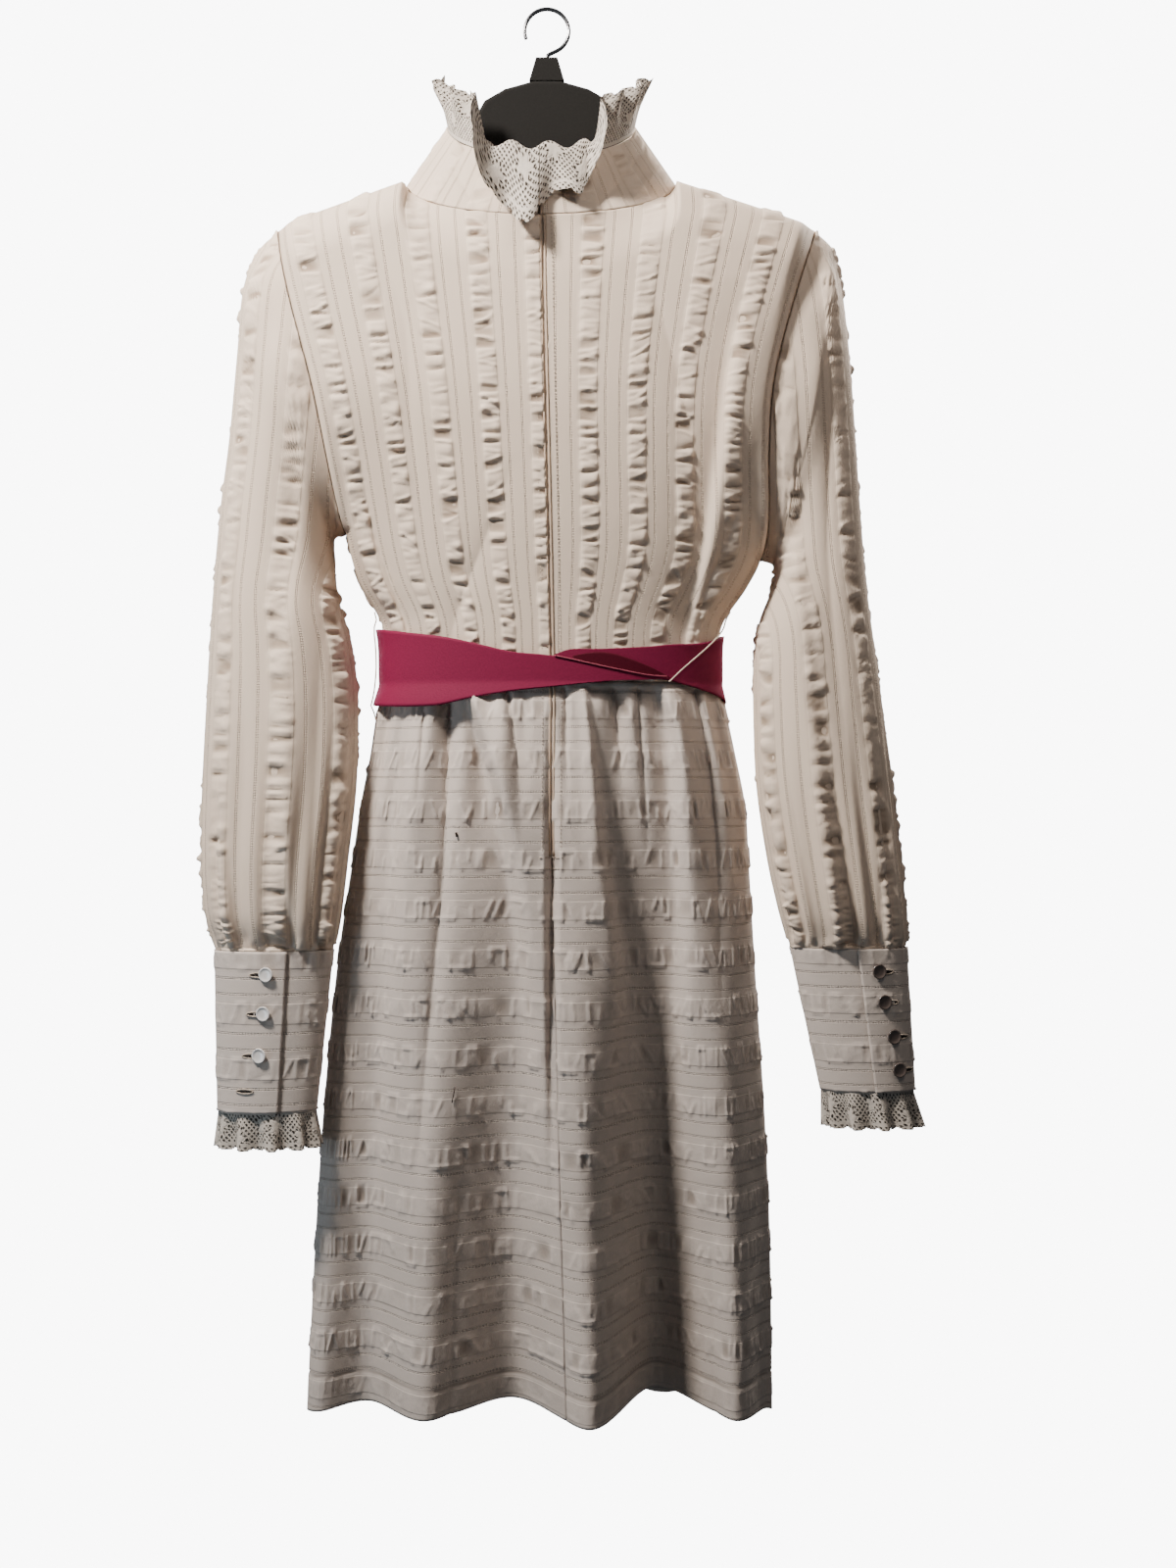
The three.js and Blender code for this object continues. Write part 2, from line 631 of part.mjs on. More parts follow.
// Hanger
function hangerBody() {
  const under = (x) => {
    const neck = NECK.half + Math.sign(x) * NECK.centre;
    const t = (Math.abs(x) - neck) / (SHOULDER_HALF - neck);
    const ridge = lerp(SHOULDER_NECK_DROP, SHOULDER_TIP_DROP, t);
    return ridge + CLOTH + HANGER.underCloth + HANGER.bevel;
  };
  const outline = new THREE.Shape();
  const right = [
    [10, TAB.to + 0.4 + HANGER.bevel], [30, 62], [44, 70], [70, 116], [84, 143], [112, under(112)],
    [150, under(150)], [186, under(186)], [188, 178], [150, 172], [92, 160], [40, 168],
  ];
  outline.moveTo(right[0][0], -right[0][1]);
  for (const [x, drop] of right.slice(1)) outline.lineTo(x, -drop);
  for (const [x, drop] of right.reverse()) outline.lineTo(-x, -drop);
  outline.closePath();
  const geometry = new THREE.ExtrudeGeometry(outline, {
    depth: HANGER.thick - 2 * HANGER.bevel,
    bevelThickness: HANGER.bevel,
    bevelSize: HANGER.bevel,
    bevelSegments: 2,
  });
  geometry.translate(0, 0, -HANGER.thick / 2 + HANGER.bevel);
  return geometry.rotateX(Math.PI / 2);
}

function sizeTab() {
  const outline = new THREE.Shape();
  outline.moveTo(-TAB.bottom / 2, -TAB.to);
  outline.lineTo(TAB.bottom / 2, -TAB.to);
  outline.lineTo(TAB.top / 2, -TAB.from);
  outline.lineTo(-TAB.top / 2, -TAB.from);
  outline.closePath();
  const geometry = new THREE.ExtrudeGeometry(outline, { depth: TAB.thick, bevelEnabled: false });
  geometry.translate(0, 0, -TAB.thick / 2);
  return geometry.rotateX(Math.PI / 2);
}

function hook() {
  const middle = -HOOK.radius + HOOK.wire / 2;
  const points = [vec(0, 0, -HOOK.stemEnd), vec(0, 0, -HOOK.stemEnd + 2)];
  for (let a = -55; a <= 200; a += 15) {
    points.push(vec(HOOK.radius * cosd(a), 0, middle + HOOK.radius * sind(a)));
  }
  return rod(points, HOOK.wire / 2, 32, 6);
}

// Materials
const finish = (color, roughness, metalness = 0) => (
  new THREE.MeshStandardMaterial({ color, roughness, metalness })
);
const cotton = finish(0xd9cdbb, 0.9);
const lace = finish(0xe2d8c6, 0.95);
const satin = finish(0x96183f, 0.5);
const blackPlastic = finish(0x151515, 0.45);
const steel = finish(0xb8b8b8, 0.3, 1);
const pearl = finish(0xe6e0d8, 0.2);
const zipNylon = finish(0xc2a48e, 0.7);

// The dress on its hanger
const dress = new THREE.Group();
function add(name, geometry, material) {
  const mesh = new THREE.Mesh(geometry, material);
  mesh.name = name;
  dress.add(mesh);
}

add('hanger_hook', hook(), steel);
add('hanger_size_tab', sizeTab(), blackPlastic);
add('hanger_body', hangerBody(), blackPlastic);
add('bodice_back_right', bodicePanel('back_right', 12), cotton);
add('bodice_back_left', bodicePanel('back_left', 12), cotton);
add('bodice_front', bodicePanel('front', 24), cotton);
add('skirt_back_right', skirtPanel('back_right', 24), cotton);
add('skirt_back_left', skirtPanel('back_left', 24), cotton);
add('skirt_front', skirtPanel('front', 48), cotton);
add('collar', collar, cotton);
add('collar_lace', collarLace, lace);
for (const side of ['left', 'right']) {
  add(`sleeve_${side}`, sleeve(side), cotton);
  add(`cuff_${side}`, cuff(side), cotton);
  add(`cuff_lace_${side}`, cuffLace(side), lace);
  buttonPlaces[side].forEach(([x, drop], i) => {
    add(`button_${side}_${i + 1}`, button(side, x, drop), pearl);
  });
}
add('zip_tape', zipStrip(ZIP_TAPE.width, ZIP_TAPE.thick, ZIP_TAPE.behind, 2), zipNylon);
add('zip_coil', zipStrip(ZIP_COIL.width, ZIP_COIL.thick, 0, 2), zipNylon);
add('zip_slider', zipSlider(), steel);
add('sash_left', ribbon(ribbonLeft, RIBBON_LEFT, 20), satin);
add('sash_right', ribbon(ribbonRight, RIBBON_RIGHT, 40), satin);
for (const side of ['left', 'right']) add(`belt_loop_${side}`, threadLoop(side), cotton);

export default dress;
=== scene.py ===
# Looks of a long-sleeved mini dress on its hanger, seen from the zipped back.
# Shapes are worked out in millimetres and stored in metres, +Z up, the back towards -Y.
# A "drop" is a distance below the inside of the hook's top, so z is minus the drop.

import math

import bpy
import numpy as np
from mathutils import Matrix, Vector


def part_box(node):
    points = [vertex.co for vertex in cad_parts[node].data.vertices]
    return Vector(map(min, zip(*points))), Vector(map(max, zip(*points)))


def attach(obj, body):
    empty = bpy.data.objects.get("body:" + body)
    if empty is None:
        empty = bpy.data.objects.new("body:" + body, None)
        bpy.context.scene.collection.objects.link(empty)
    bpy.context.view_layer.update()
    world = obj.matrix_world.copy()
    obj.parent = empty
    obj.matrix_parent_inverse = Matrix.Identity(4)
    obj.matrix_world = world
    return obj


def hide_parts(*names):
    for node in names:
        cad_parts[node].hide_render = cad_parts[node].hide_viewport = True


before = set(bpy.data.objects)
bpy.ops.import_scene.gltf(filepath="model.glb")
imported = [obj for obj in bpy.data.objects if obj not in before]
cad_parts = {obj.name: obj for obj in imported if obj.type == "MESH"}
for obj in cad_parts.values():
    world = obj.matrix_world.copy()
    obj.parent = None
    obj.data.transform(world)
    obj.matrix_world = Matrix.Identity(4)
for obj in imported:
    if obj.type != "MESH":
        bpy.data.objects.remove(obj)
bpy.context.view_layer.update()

MM = 0.001

# The camera of the photograph: its distance from the hook's plane, its middle and its lens
CAMERA_AWAY = 1250.0
CAMERA_X = 30.7
CAMERA_DROP = 576.0
CAMERA_LENS = 38.5
CAMERA_SENSOR = 36.0


def make_camera():
    data = bpy.data.cameras.new("camera")
    data.lens = CAMERA_LENS
    data.sensor_width = CAMERA_SENSOR
    data.sensor_fit = "AUTO"
    data.clip_start = 0.01
    camera = bpy.data.objects.new("camera", data)
    camera.location = (CAMERA_X * MM, -CAMERA_AWAY * MM, -CAMERA_DROP * MM)
    camera.rotation_euler = (math.radians(90), 0, 0)
    bpy.context.scene.collection.objects.link(camera)
    bpy.context.scene.camera = camera


make_camera()

# Driving dimensions, close to those of the part's source
CLOTH = 1.2
RIBBON = 0.9
WAIST_DROP = 503
HEM_DROP_BACK = 1032
HEM_DROP_FRONT = 1050
SHOULDER_HALF = 200
SHOULDER_TIP_DROP = 164
SHOULDER_NECK_DROP = 130
SHOULDER_ROUND = 45
ARMHOLE_DEPTH = 46
ARMPIT_DROP = {"left": 390, "right": 410}
NECK = dict(centre=-4, half=100, back=52, front=58, back_dip=39, front_dip=60)
COLLAR_TOP = dict(half=70, back=42, front=45, drop=86, back_dip=38, front_dip=16)
COLLAR_LACE = dict(turn=5.5, waves=17, ruffle=6, ripples=18, ripple=3)
CUFF_LACE = dict(width=27, waves=11, ruffle=4, flare=1, tuck=2)
CUFF_LACE_SHIFT = {"left": 1.0, "right": 5.0}
ZIP_END_DROP = 627
FOLDS_START_DROP = 560
GATHERS = dict(around=24, depth=3.2, clear_of_zip=5, reach=175)
SLEEVE_GATHERS = dict(around=8, depth=3)
CUFF = dict(y=-32, top_depth=20, bottom_depth=18, lift=2, lap=0.12)
PITCH = 39.6  # from one puckered stripe to the next
SKIRT_PITCH = 35.65
SKIRT_FIRST_STRIPE = 558.6


class Table:
    """Named columns, read on a smooth curve through the rows."""

    def __init__(self, names, rows):
        self.names = names.split()
        self.rows = np.array(rows, float)

    def __call__(self, name, at):
        x, y = self.rows[:, 0], self.rows[:, self.names.index(name)]
        at = np.asarray(at, float)
        last = len(x) - 1
        before = np.maximum(np.arange(last + 1) - 1, 0)
        after = np.minimum(np.arange(last + 1) + 1, last)
        slope = (y[after] - y[before]) / (x[after] - x[before])
        k = np.clip(np.searchsorted(x, at, side="left") - 1, 0, last - 1)
        span = x[k + 1] - x[k]
        t = np.clip((at - x[k]) / span, 0, 1)
        bend = t * (1 - t) * ((1 - t) * slope[k] - t * slope[k + 1]) * span
        return y[k] + (y[k + 1] - y[k]) * t * t * (3 - 2 * t) + bend


centre_back = Table("drop x", [(86, -3), (169, -2), (503, 5), (627, 5), (1032, 15)])

bodice_size = Table("drop left right back front", [
    (164, 200, 200, 52, 52),
    (228, 184, 179, 58, 58),
    (288, 168, 164, 62, 62),
    (340, 158, 161, 62, 62),
    (386, 150, 162, 61, 61),
    (410, 145, 159, 60, 60),
    (430, 138, 149, 59, 59),
    (460, 122, 130, 58, 58),
    (503, 119, 127, 57, 57),
])

skirt_size = Table("drop left right back front", [
    (503, 119, 127, 57, 57),
    (520, 124, 131, 60, 60),
    (555, 130, 139, 62, 62),
    (593, 138, 147, 62, 64),
    (631, 144, 150, 60, 66),
    (715, 156, 155, 55, 70),
    (820, 166, 162, 45, 75),
    (912, 172, 166, 38, 80),
    (1050, 179, 168, 30, 85),
])

hem_folds = Table("angle out", [
    (-90, 0), (-70, 4), (-50, -25), (-31, 26), (-12, -27), (7, 36), (26, -52), (52, 30),
    (74, -5), (90, 0), (108, -6), (128, 22), (152, -22), (176, 28), (203, -30), (228, 26),
    (250, -18), (270, 0),
])

SLEEVE_ROWS = {
    "left": [
        (-213, 180, -158, 393, 49, 0),
        (-225, 208, -159, 401, 47, 0),
        (-230, 258, -158, 411, 44, 0),
        (-235, 318, -157, 426, 41, -3),
        (-241, 372, -152, 446, 40, -7),
        (-245, 432, -143, 476, 40, -13),
        (-248, 500, -138, 520, 39, -19),
        (-250, 570, -139, 575, 38, -24),
        (-250, 630, -145, 630, 36, -28),
        (-247, 668, -149, 668, 31, -31),
        (-242, 686, -152, 687, 25, -32),
    ],
    "right": [
        (212, 180, 168, 413, 49, 0),
        (219, 208, 169, 419, 47, 0),
        (225, 258, 169, 427, 44, 0),
        (229, 318, 165, 438, 41, -3),
        (232, 372, 158, 455, 40, -7),
        (236, 432, 153, 480, 40, -13),
        (244, 500, 152, 520, 39, -19),
        (252, 570, 154, 575, 38, -24),
        (258, 630, 162, 630, 36, -28),
        (261, 668, 169, 664, 31, -31),
        (262, 686, 174, 683, 25, -32),
    ],
}

CUFFS = {
    "left": dict(top=(-197, 43, 696), bottom=(-202, 36, 812), turns=(-20, 376), lifted="end"),
    "right": dict(top=(219, 42, 694), bottom=(233, 34, 797), turns=(5, 402), lifted="start"),
}

RIBBON_EDGES = {
    "left": Table("angle top bottom", [
        (-88, 462, 517), (-75, 463, 519), (-40, 470, 520), (-27, 475, 515), (-13, 482, 510),
        (0, 485, 507), (18, 493, 503), (33, 498.5, 501.6), (42, 499.4, 501),
    ]),
    "right": Table("angle top bottom", [
        (0, 485, 486.5), (6, 480.5, 489), (16, 480, 493), (33, 478, 499.5), (43, 476, 502),
        (60, 474, 508), (80, 468, 514), (100, 465, 517), (180, 464, 518), (272, 462, 517),
    ]),
}
RIBBON_RUN = {"left": (-87.6, 42, 5.4), "right": (0.5, 271.8, 3.6)}

lace_turn = Table("angle turn", [
    (-180, 12), (-90, 12), (-34, 13), (-29, 90), (-24, 156), (0, 168), (24, 162), (29, 90),
    (34, 20), (90, 12), (180, 12),
])

lace_width = Table("angle width", [
    (-180, 38), (-60, 38), (-34, 40), (-29, 32), (-23, 50), (-14, 66), (-5, 74), (4, 55), (12, 46),
    (21, 52), (29, 30), (36, 38), (60, 38), (180, 38),
])


# Small helpers on arrays of points, shaped rows by columns by three
def sind(a):
    return np.sin(np.radians(a))


def cosd(a):
    return np.cos(np.radians(a))


def lerp(a, b, t):
    return a + (b - a) * t


def smooth(t):
    t = np.clip(t, 0, 1)
    return t * t * (3 - 2 * t)


def points(x, y, z):
    return np.stack(np.broadcast_arrays(x, y, z), axis=-1).astype(float)


def pair(x, y):
    return np.stack(np.broadcast_arrays(x, y), axis=-1).astype(float)


def unit(v):
    return v / np.maximum(np.linalg.norm(v, axis=-1, keepdims=True), 1e-12)


def normals(at, u, v, round_it):
    """The outward normals of the surface at(u, v), by small steps to both sides."""
    step = 1e-3
    u0, u1 = (u - step, u + step) if round_it else (np.maximum(u - step, 0), np.minimum(u + step, 1))
    v0, v1 = np.maximum(v - step, 0), np.minimum(v + step, 1)
    return unit(np.cross(at(u1, v) - at(u0, v), at(u, v1) - at(u, v0)))


def link_mesh(name, verts, faces, uv=None, relief=None):
    """An object from points in millimetres and faces, with each point's place on the cloth
    and how far it stands out of it."""
    mesh = bpy.data.meshes.new(name)
    mesh.from_pydata((np.asarray(verts) * MM).tolist(), [], faces)
    if uv is not None:
        layer = mesh.uv_layers.new(name="cloth")
        index = np.zeros(len(mesh.loops), int)
        mesh.loops.foreach_get("vertex_index", index)
        layer.data.foreach_set("uv", np.asarray(uv, np.float32)[index].ravel())
    if relief is not None:
        mesh.attributes.new("relief", "FLOAT", "POINT").data.foreach_set("value", relief)
    mesh.polygons.foreach_set("use_smooth", [True] * len(mesh.polygons))
    mesh.update()
    piece = bpy.data.objects.new(name, mesh)
    bpy.context.scene.collection.objects.link(piece)
    return piece


def quads(count, height, across, base=0, flip=False):
    """The faces of a grid of points with so many across, joined round where all are used."""
    i, j = np.meshgrid(np.arange(count), np.arange(height))
    right = (i + 1) % across
    a, b = base + j * across + i, base + j * across + right
    c, d = base + (j + 1) * across + right, base + (j + 1) * across + i
    order = (a, d, c, b) if flip else (a, b, c, d)
    return np.stack(order, -1).reshape(-1, 4).tolist()


def tube(count, sides, closed=False):
    """The faces of rings of points: an open tube with caps, or one joined end to end."""
    faces = np.array(quads(sides, count if closed else count - 1, sides)) % (count * sides)
    caps = [] if closed else [list(range(sides))[::-1], list(range((count - 1) * sides, count * sides))]
    return faces.tolist() + caps


def circle(sides):
    turn = np.arange(sides) / sides * 2 * math.pi
    return np.cos(turn), np.sin(turn)


def shell(name, columns, rows, at, thick, relief=None, cloth=None, round_it=False, ratio=3):
    """A closed thin wall of cloth: a fine outer face with relief, a coarser plain inner
    face, and rims. at(u, v) gives points, cloth(u, v) the cloth's own coordinates, and
    relief(cloth u, cloth v) how far the outer face stands out, in millimetres."""
    columns, rows = columns - columns % ratio, rows - rows % ratio
    wide = columns if round_it else columns + 1

    def grid(n, m, w):
        return np.meshgrid(np.arange(w) / n, np.arange(m + 1) / m)

    u, v = grid(columns, rows, wide)
    outer = at(u, v)
    place = cloth(u, v) if cloth else pair(u, v)
    height = relief(place[..., 0], place[..., 1]) if relief else np.zeros(u.shape)
    outer = outer + normals(at, u, v, round_it) * height[..., None]
    n, m = columns // ratio, rows // ratio
    w = n if round_it else n + 1
    ui, vi = grid(n, m, w)
    inner = at(ui, vi) - normals(at, ui, vi, round_it) * thick
    inner_place = cloth(ui, vi) if cloth else pair(ui, vi)
    first = wide * (rows + 1)

    faces = quads(columns, rows, wide) + quads(n, m, w, first, True)

    def rim(out, into, flip):
        middle = ratio // 2
        for k in range(len(into) - 1):
            run = out[k * ratio:(k + 1) * ratio + 1]
            some = [(run[s], into[k], run[s + 1]) for s in range(middle)]
            some.append((run[middle], into[k], into[k + 1]))
            some += [(run[s], into[k + 1], run[s + 1]) for s in range(middle, ratio)]
            faces.extend([t[::-1] for t in some] if flip else some)

    across_out = [i % wide for i in range(columns + 1)]
    across_in = [i % w for i in range(n + 1)]
    rim(across_out, [first + i for i in across_in], False)
    rim([rows * wide + i for i in across_out], [first + m * w + i for i in across_in], True)
    if not round_it:
        rim([j * wide for j in range(rows + 1)], [first + j * w for j in range(m + 1)], True)
        rim([j * wide + columns for j in range(rows + 1)], [first + j * w + n for j in range(m + 1)], False)
    verts = np.concatenate([outer.reshape(-1, 3), inner.reshape(-1, 3)])
    uv = np.concatenate([place.reshape(-1, 2), inner_place.reshape(-1, 2)])
    height = np.concatenate([height.ravel(), np.zeros(inner.size // 3)])
    return link_mesh(name, verts, faces, uv, height)


DEPTHWISE = (0.0, 1.0, 0.02)  # nearly +Y, to find the sides of what lies on the dress


def rod(name, line, radius, sides=8, closed=False):
    """A round rod along a line of points."""
    line = np.asarray(line, float)
    ahead, behind = np.roll(line, -1, 0), np.roll(line, 1, 0)
    if not closed:
        ahead[-1], behind[0] = line[-1], line[0]
    along = unit(ahead - behind)
    side = unit(np.cross(along, DEPTHWISE))
    up = np.cross(side, along)
    x, y = circle(sides)
    ring = side[:, None] * x[None, :, None] + up[:, None] * y[None, :, None]
    verts = (line[:, None] + ring * radius).reshape(-1, 3)
    return link_mesh(name, verts, tube(len(line), sides, closed))


def stitches(name, lines, length=2.0, gap=1.0, thick=0.32):
    """Short raised stitches laid along lines on the cloth."""
    verts, faces = [], []
    for line in lines:
        line = np.asarray(line, float)
        run = np.concatenate([[0], np.cumsum(np.linalg.norm(np.diff(line, axis=0), axis=1))])
        for start in np.arange(0, run[-1] - length, length + gap):
            stop = start + length
            a, b = (np.array([np.interp(t, run, line[:, k]) for k in range(3)]) for t in (start, stop))
            along = unit(b - a)
            side = unit(np.cross(along, DEPTHWISE)) * thick
            out = np.cross(side, along)
            middle = (a + b) / 2
            n = len(verts)
            verts += [a, b, middle + side, middle - side, middle + out, middle - out]
            for i, j in ((2, 4), (4, 3), (3, 5), (5, 2)):
                faces += [(n, n + i, n + j), (n + 1, n + j, n + i)]
    return link_mesh(name, verts, faces)


# The body of the dress: angle 0 is the centre back and 90 the right side seam
def ring_point(size, angle, drop, hollow=0.0):
    across = sind(angle)
    middle = centre_back("x", drop)
    half = np.where(across < 0, size("left", drop) + middle, size("right", drop) - middle)
    back = cosd(angle) >= 0
    depth = np.where(back, size("back", drop), size("front", drop))
    reach = hollow + (depth - hollow) * np.abs(cosd(angle)) ** 0.75
    return points(middle + across * half, np.where(back, -reach, reach), -np.asarray(drop, float))


def armhole_reach(angle, drop):
    armpit = np.where(sind(angle) < 0, ARMPIT_DROP["left"], ARMPIT_DROP["right"])
    middle, half = (SHOULDER_TIP_DROP + armpit) / 2, (armpit - SHOULDER_TIP_DROP) / 2
    c = (drop - middle) / half
    at_seam = ARMHOLE_DEPTH * np.clip(1 - c * c, 0, 1) ** 0.45
    inside = ARMHOLE_DEPTH * smooth((armpit + 40 - drop) / 150)
    return lerp(inside, at_seam, smooth((np.abs(sind(angle)) - 0.93) / 0.07))


def bodice_top(angle):
    """Where a column of the bodice ends: on the neck seam or on the shoulder seam."""
    x = ring_point(bodice_size, angle, np.full(np.shape(angle), float(SHOULDER_TIP_DROP)))[..., 0]
    back = cosd(angle) >= 0
    s = (x - NECK["centre"]) / NECK["half"]
    c = np.sqrt(np.clip(1 - s * s, 0, 1))
    on_neck = np.abs(s) < 1
    neck = NECK["half"] + np.sign(x) * NECK["centre"]
    t = (np.abs(x) - neck) / (SHOULDER_HALF - neck)
    dip = np.where(back, NECK["back_dip"], NECK["front_dip"])
    drop = np.where(on_neck, SHOULDER_NECK_DROP + c * dip, lerp(SHOULDER_NECK_DROP, SHOULDER_TIP_DROP, t))
    y = np.where(on_neck, np.where(back, -NECK["back"] * c, NECK["front"] * c), 0)
    return drop, y


def bodice_point(angle, drop):
    top, y = bodice_top(angle)
    p = ring_point(bodice_size, angle, drop, armhole_reach(angle, drop))
    s = np.clip((drop - top) / SHOULDER_ROUND, 0, 1)
    rolled = np.sqrt(np.clip(1 - (1 - s) ** 2, 0, 1))
    share = lerp(rolled, 1 - (1 - s) ** 2, smooth(np.abs(y) / (NECK["back"] / 2)))
    p[..., 1] = y + (p[..., 1] - y) * share
    return p


def skirt_point(angle, drop):
    p = ring_point(skirt_size, angle, drop)
    hung = (drop - FOLDS_START_DROP) / (HEM_DROP_BACK - FOLDS_START_DROP)
    grown = np.maximum(hung, 0) ** 1.4
    turned = np.where(angle > 270, angle - 360, angle)
    face = np.sqrt(np.abs(cosd(angle)))
    below = (drop - WAIST_DROP) / GATHERS["reach"]
    fade = (smooth(below / 0.12) * 0.7 + 0.3) * (1 - smooth(below))
    from_zip = smooth((np.abs(turned) - GATHERS["clear_of_zip"]) / 6)
    wave = np.cos(np.radians(GATHERS["around"] * angle) + 0.8 * sind(3 * angle))
    gather = GATHERS["depth"] * wave * fade * from_zip
    out = hem_folds("out", turned) * grown * face + gather * face
    p[..., 1] += np.where(cosd(angle) >= 0, -out, out)
    p[..., 0] += gather * sind(angle) * (1 - face)
    return p


def hem_drop(angle):
    return lerp(HEM_DROP_BACK, HEM_DROP_FRONT, (1 - cosd(angle)) / 2)


# Reliefs of stripes centred on whole numbers of the first cloth coordinate. Their sizes are in
# pitches, and every stripe draws its own random numbers.
def stripes(s, along, half, seed, spacing):
    """Each stripe's mask, places across and along it, random numbers, start and count of marks."""
    stripe = np.round(s).astype(int)
    off = s - stripe
    for k in np.unique(stripe):
        here = (stripe == k) & (np.abs(off) < half)
        if here.any():
            low, high = along[here].min() - 1, along[here].max() + 1
            rng = np.random.default_rng(seed * 1000 + int(k) + 500)
            yield here, off[here], along[here], rng, low, int((high - low) / spacing) + 8


STRIPE_HALF = 0.195
CREASE_WIDE = 0.027
CREASE_GAPS = (0.12, 0.15, 0.2, 0.26)


def puckers(seed, depth):
    """Sharp cross creases at uneven places, with small pillows between them."""

    def relief(s, along):
        height = np.zeros_like(s)
        for here, off, y, rng, low, count in stripes(s, along, STRIPE_HALF, seed, 0.15):
            creases = low + np.cumsum(rng.choice(CREASE_GAPS, count) * rng.uniform(0.8, 1.2, count))
            tilt = rng.normal(0, 0.22, count)
            size = rng.uniform(0.5, 1.0, count) * rng.choice([1, 1, 1, -0.7], count)
            pillow = rng.uniform(0.4, 1.1, count) * rng.choice([1, 1, 1, -0.6], count)
            lean = rng.normal(0, 0.7, count)
            ends = rng.uniform(0.5, 1.3, count) * rng.choice([1, -1], count)
            x = off / STRIPE_HALF
            total = np.zeros_like(x)
            for step in (-1, 0, 1):
                i = np.clip(np.searchsorted(creases, y) + step, 0, count - 1)
                d = y - creases[i] - tilt[i] * off * (1 + 0.5 * x)
                reach = 0.5 + 0.5 * np.tanh((1 + x * ends[i]) * 4)
                total += size[i] * np.exp(-((d / CREASE_WIDE) ** 2)) * reach
            i = np.clip(np.searchsorted(creases, y), 1, count - 1)
            t = np.clip((y - creases[i - 1]) / (creases[i] - creases[i - 1]), 0, 1)
            total += pillow[i] * np.sin(np.pi * t) * (1 + lean[i] * x)
            height[here] = total * (1 - np.abs(x) ** 5)
        return height * depth

    return relief


STROKE_BAND = 0.235
STROKE_WIDE = 0.023
STROKE_GAPS = (0.13, 0.17, 0.21, 0.28)
LOOP_WIDEST = 0.25
HEM_FOLD = 12.72  # where the turned-up hem ends


def strokes(seed, depth):
    """Thin raised strokes across the bands: upright, slanted, or joined in loops."""

    def relief(s, along):
        height = np.zeros_like(s)
        for here, off, y, rng, low, count in stripes(s, along, STROKE_BAND, seed, 0.12):
            line = low + np.cumsum(rng.choice(STROKE_GAPS, count) * rng.uniform(0.85, 1.15, count))
            tilt = rng.choice([0, 0.04, -0.06, 0.1, 0, 0.45, -0.35], count)
            size = rng.uniform(0.5, 1.0, count)
            joined = rng.choice([0, 0, 0.8, -0.8, 0.8, 0], count)
            short = rng.choice([0, 0, 0.5, -0.5], count)
            swell = rng.normal(0, 0.35, count)
            x = off / STROKE_BAND
            total = np.zeros_like(x)
            for step in (-1, 0, 1):
                i = np.clip(np.searchsorted(line, y) + step, 0, count - 1)
                d = y - line[i] - tilt[i] * off
                length = smooth((1 - np.abs(x + short[i]) / (1 - np.abs(short[i]) * 0.4)) / 0.3)
                total += size[i] * np.exp(-((d / STROKE_WIDE) ** 2)) * length
            i = np.clip(np.searchsorted(line, y), 1, count - 1)
            between = line[i] - line[i - 1]
            t = np.clip((y - line[i - 1]) / between, 0, 1)
            loop = np.exp(-(((x - joined[i]) / 0.13) ** 2)) * (between < LOOP_WIDEST)
            total += np.abs(joined[i]) * loop + swell[i] * np.sin(np.pi * t) * (1 - x * x)
            height[here] = total * smooth((1 - np.abs(x)) / 0.12)
        turned_up = smooth((s - HEM_FOLD) / 0.05)
        groove = 0.7 * np.exp(-(((s - HEM_FOLD) / 0.025) ** 2))
        return height * depth * (1 - 0.6 * turned_up) - groove

    return relief


# Creases of the back that run down the dress. Each row is a drop, x, depth and width.
# A valley is a sharp trough. An edge is a fold whose right side stands out, or its left side
# where the depth is minus. The front takes the same creases turned over.
BODICE_CREASES = [
    ("valley", [(318, -137, 0, 5), (380, -128, 5, 7), (430, -112, 6, 6), (468, -99, 5, 5),
                (503, -93, 0, 4)]),
    ("edge", [(330, -160, 0, 5), (390, -143, 3, 5), (440, -122, 5, 4), (470, -107, 4, 4),
              (503, -98, 0, 4)]),
    ("edge", [(215, 148, 0, 6), (260, 136, 4, 5), (330, 126, 6, 4), (400, 117, 6, 4), (450, 107, 5, 4),
              (503, 98, 0, 4)]),
    ("valley", [(330, 152, 0, 6), (400, 131, 3, 7), (440, 115, 4, 6), (503, 100, 0, 5)]),
    ("valley", [(190, 60, 0, 10), (250, 85, 2.5, 14), (330, 104, 2, 12), (400, 112, 0, 10)]),
    ("valley", [(340, -20, 0, 9), (400, -42, 2, 10), (450, -62, 2.5, 9), (503, -74, 0, 8)]),
    ("valley", [(190, -120, 0, 12), (250, -100, 2, 14), (330, -95, 2, 12), (420, -84, 0, 10)]),
]
CREASE_DEPTH = 1.7
